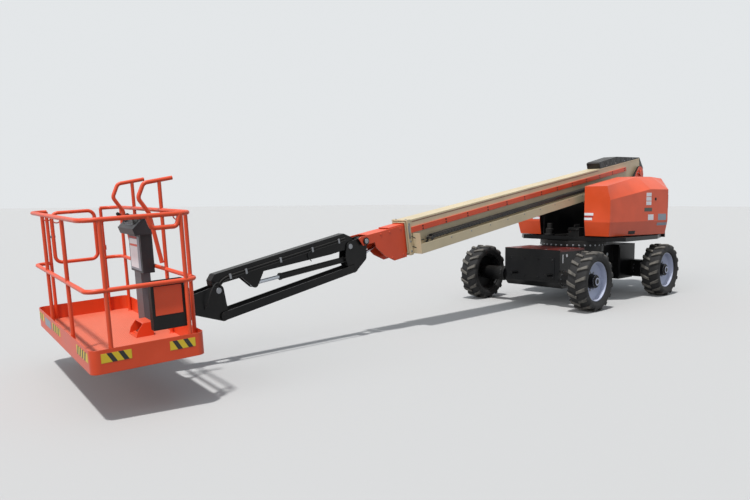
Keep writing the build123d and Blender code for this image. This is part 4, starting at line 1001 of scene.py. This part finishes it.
# Moulded ABS: dark grey and half glossy, so that the edges of the head catch the light.
head_black = painted("moulded_black_head", "#26282D", "#3A3A3E", roughness=0.42, dust=0.15, gloss=0.4)
finish_nodes(head_black, "console")
finish_nodes(steel_grey, "console_column")
front = console_rear + 110
for name, near, far, left, right, low, high, material, edge in (("label_board", 0, 4, -215, 130, 600, 930,
        grey_vinyl, 1), ("blank_sheet", 4, 5.4, -200, 60, 620, 900, pale_vinyl, 0),
        ("red_bar", 5.4, 6.4, -200, 60, 905, 925, red_vinyl, 0), ("orange_bar", 5.4, 6.6, -196, 56, 830, 850,
        orange_enamel, 0)):
    board = bmesh.new()
    block(board, (front + near, left, low), (front + far, right, high))
    make_piece("console_" + name, board, material, "platform", bevel_mm=edge)
slope_low, slope_high = Vector((console_rear + 190, 0, 1010)), Vector((console_rear + 70, 0, 1125))
slope = (slope_high - slope_low).normalized()
slope_out = Vector((slope_high.z - slope_low.z, 0, -(slope_high.x - slope_low.x))).normalized()
levers, caps_red, knobs = bmesh.new(), bmesh.new(), bmesh.new()
for y in (-210, 140):
    foot = slope_low + slope * 85 + Vector((0, y, 0))
    turned(levers, foot, slope_out, [(0, 34), (6, 33), (12, 26), (18, 24), (24, 18), (30, 9), (70, 7),
                                     (74, 16), (96, 18), (112, 15), (118, 8)], 20)
for i in range(6):
    spot = slope_low + slope * 50 + Vector((0, -120 + i * 38, 0))
    turned(knobs, spot, slope_out, [(0, 10), (3, 10), (4, 4), (20, 3), (24, 5), (27, 3)], 12)
    spot = slope_low + slope * 110 + Vector((0, -120 + i * 38, 0))
    turned(knobs, spot, slope_out, [(0, 8), (5, 8), (8, 4)], 12)
stop = slope_low + slope * 130 + Vector((0, 205, 0))
turned(caps_red, stop, slope_out, [(0, 12), (10, 12), (12, 24), (18, 25), (24, 20), (27, 10)], 24)
make_piece("console_levers", levers, grille_black, "platform", smooth=True)
make_piece("console_switches", knobs, zinc_plate, "platform")
make_piece("stop_button", caps_red, red_vinyl, "platform", smooth=True)
rim_line = bmesh.new()
for y in (console_mid - 266, console_mid + 262):
    plate(rim_line, [(console_rear + 168, 952), (console_rear + 189, 1010), (console_rear + 71, 1123),
                     (console_rear + 60, 1110), (console_rear + 170, 1005)], y, y + 4, axis="Y")
make_piece("console_head_rim", rim_line, head_black, "platform", bevel_mm=1)

# Storage box and foot switch
# A black moulded tray hung inside the left rail with an orange panel let into its side, and a cast
# foot switch, painted orange, whose pedal has ribs against slipping.
finish_nodes(grille_black, "storage_box")
finish_nodes(orange_enamel, "foot_switch")
inset = bmesh.new()
for y_face in (basket_left - rail_in - 19, basket_left - rail_in - 101):
    block(inset, (basket_rear + rail_in + 128, y_face, 372), (basket_rear + rail_in + 352, y_face + 2, 608))
make_piece("storage_box_panel", inset, orange_enamel, "platform", bevel_mm=1)
ribs = bmesh.new()
for i in range(6):
    block(ribs, (462 + i * 16, 226, floor_top + 46 - i * 4), (470 + i * 16, 384, floor_top + 51 - i * 4))
make_piece("pedal_ribs", ribs, black_casting, "platform", bevel_mm=1)
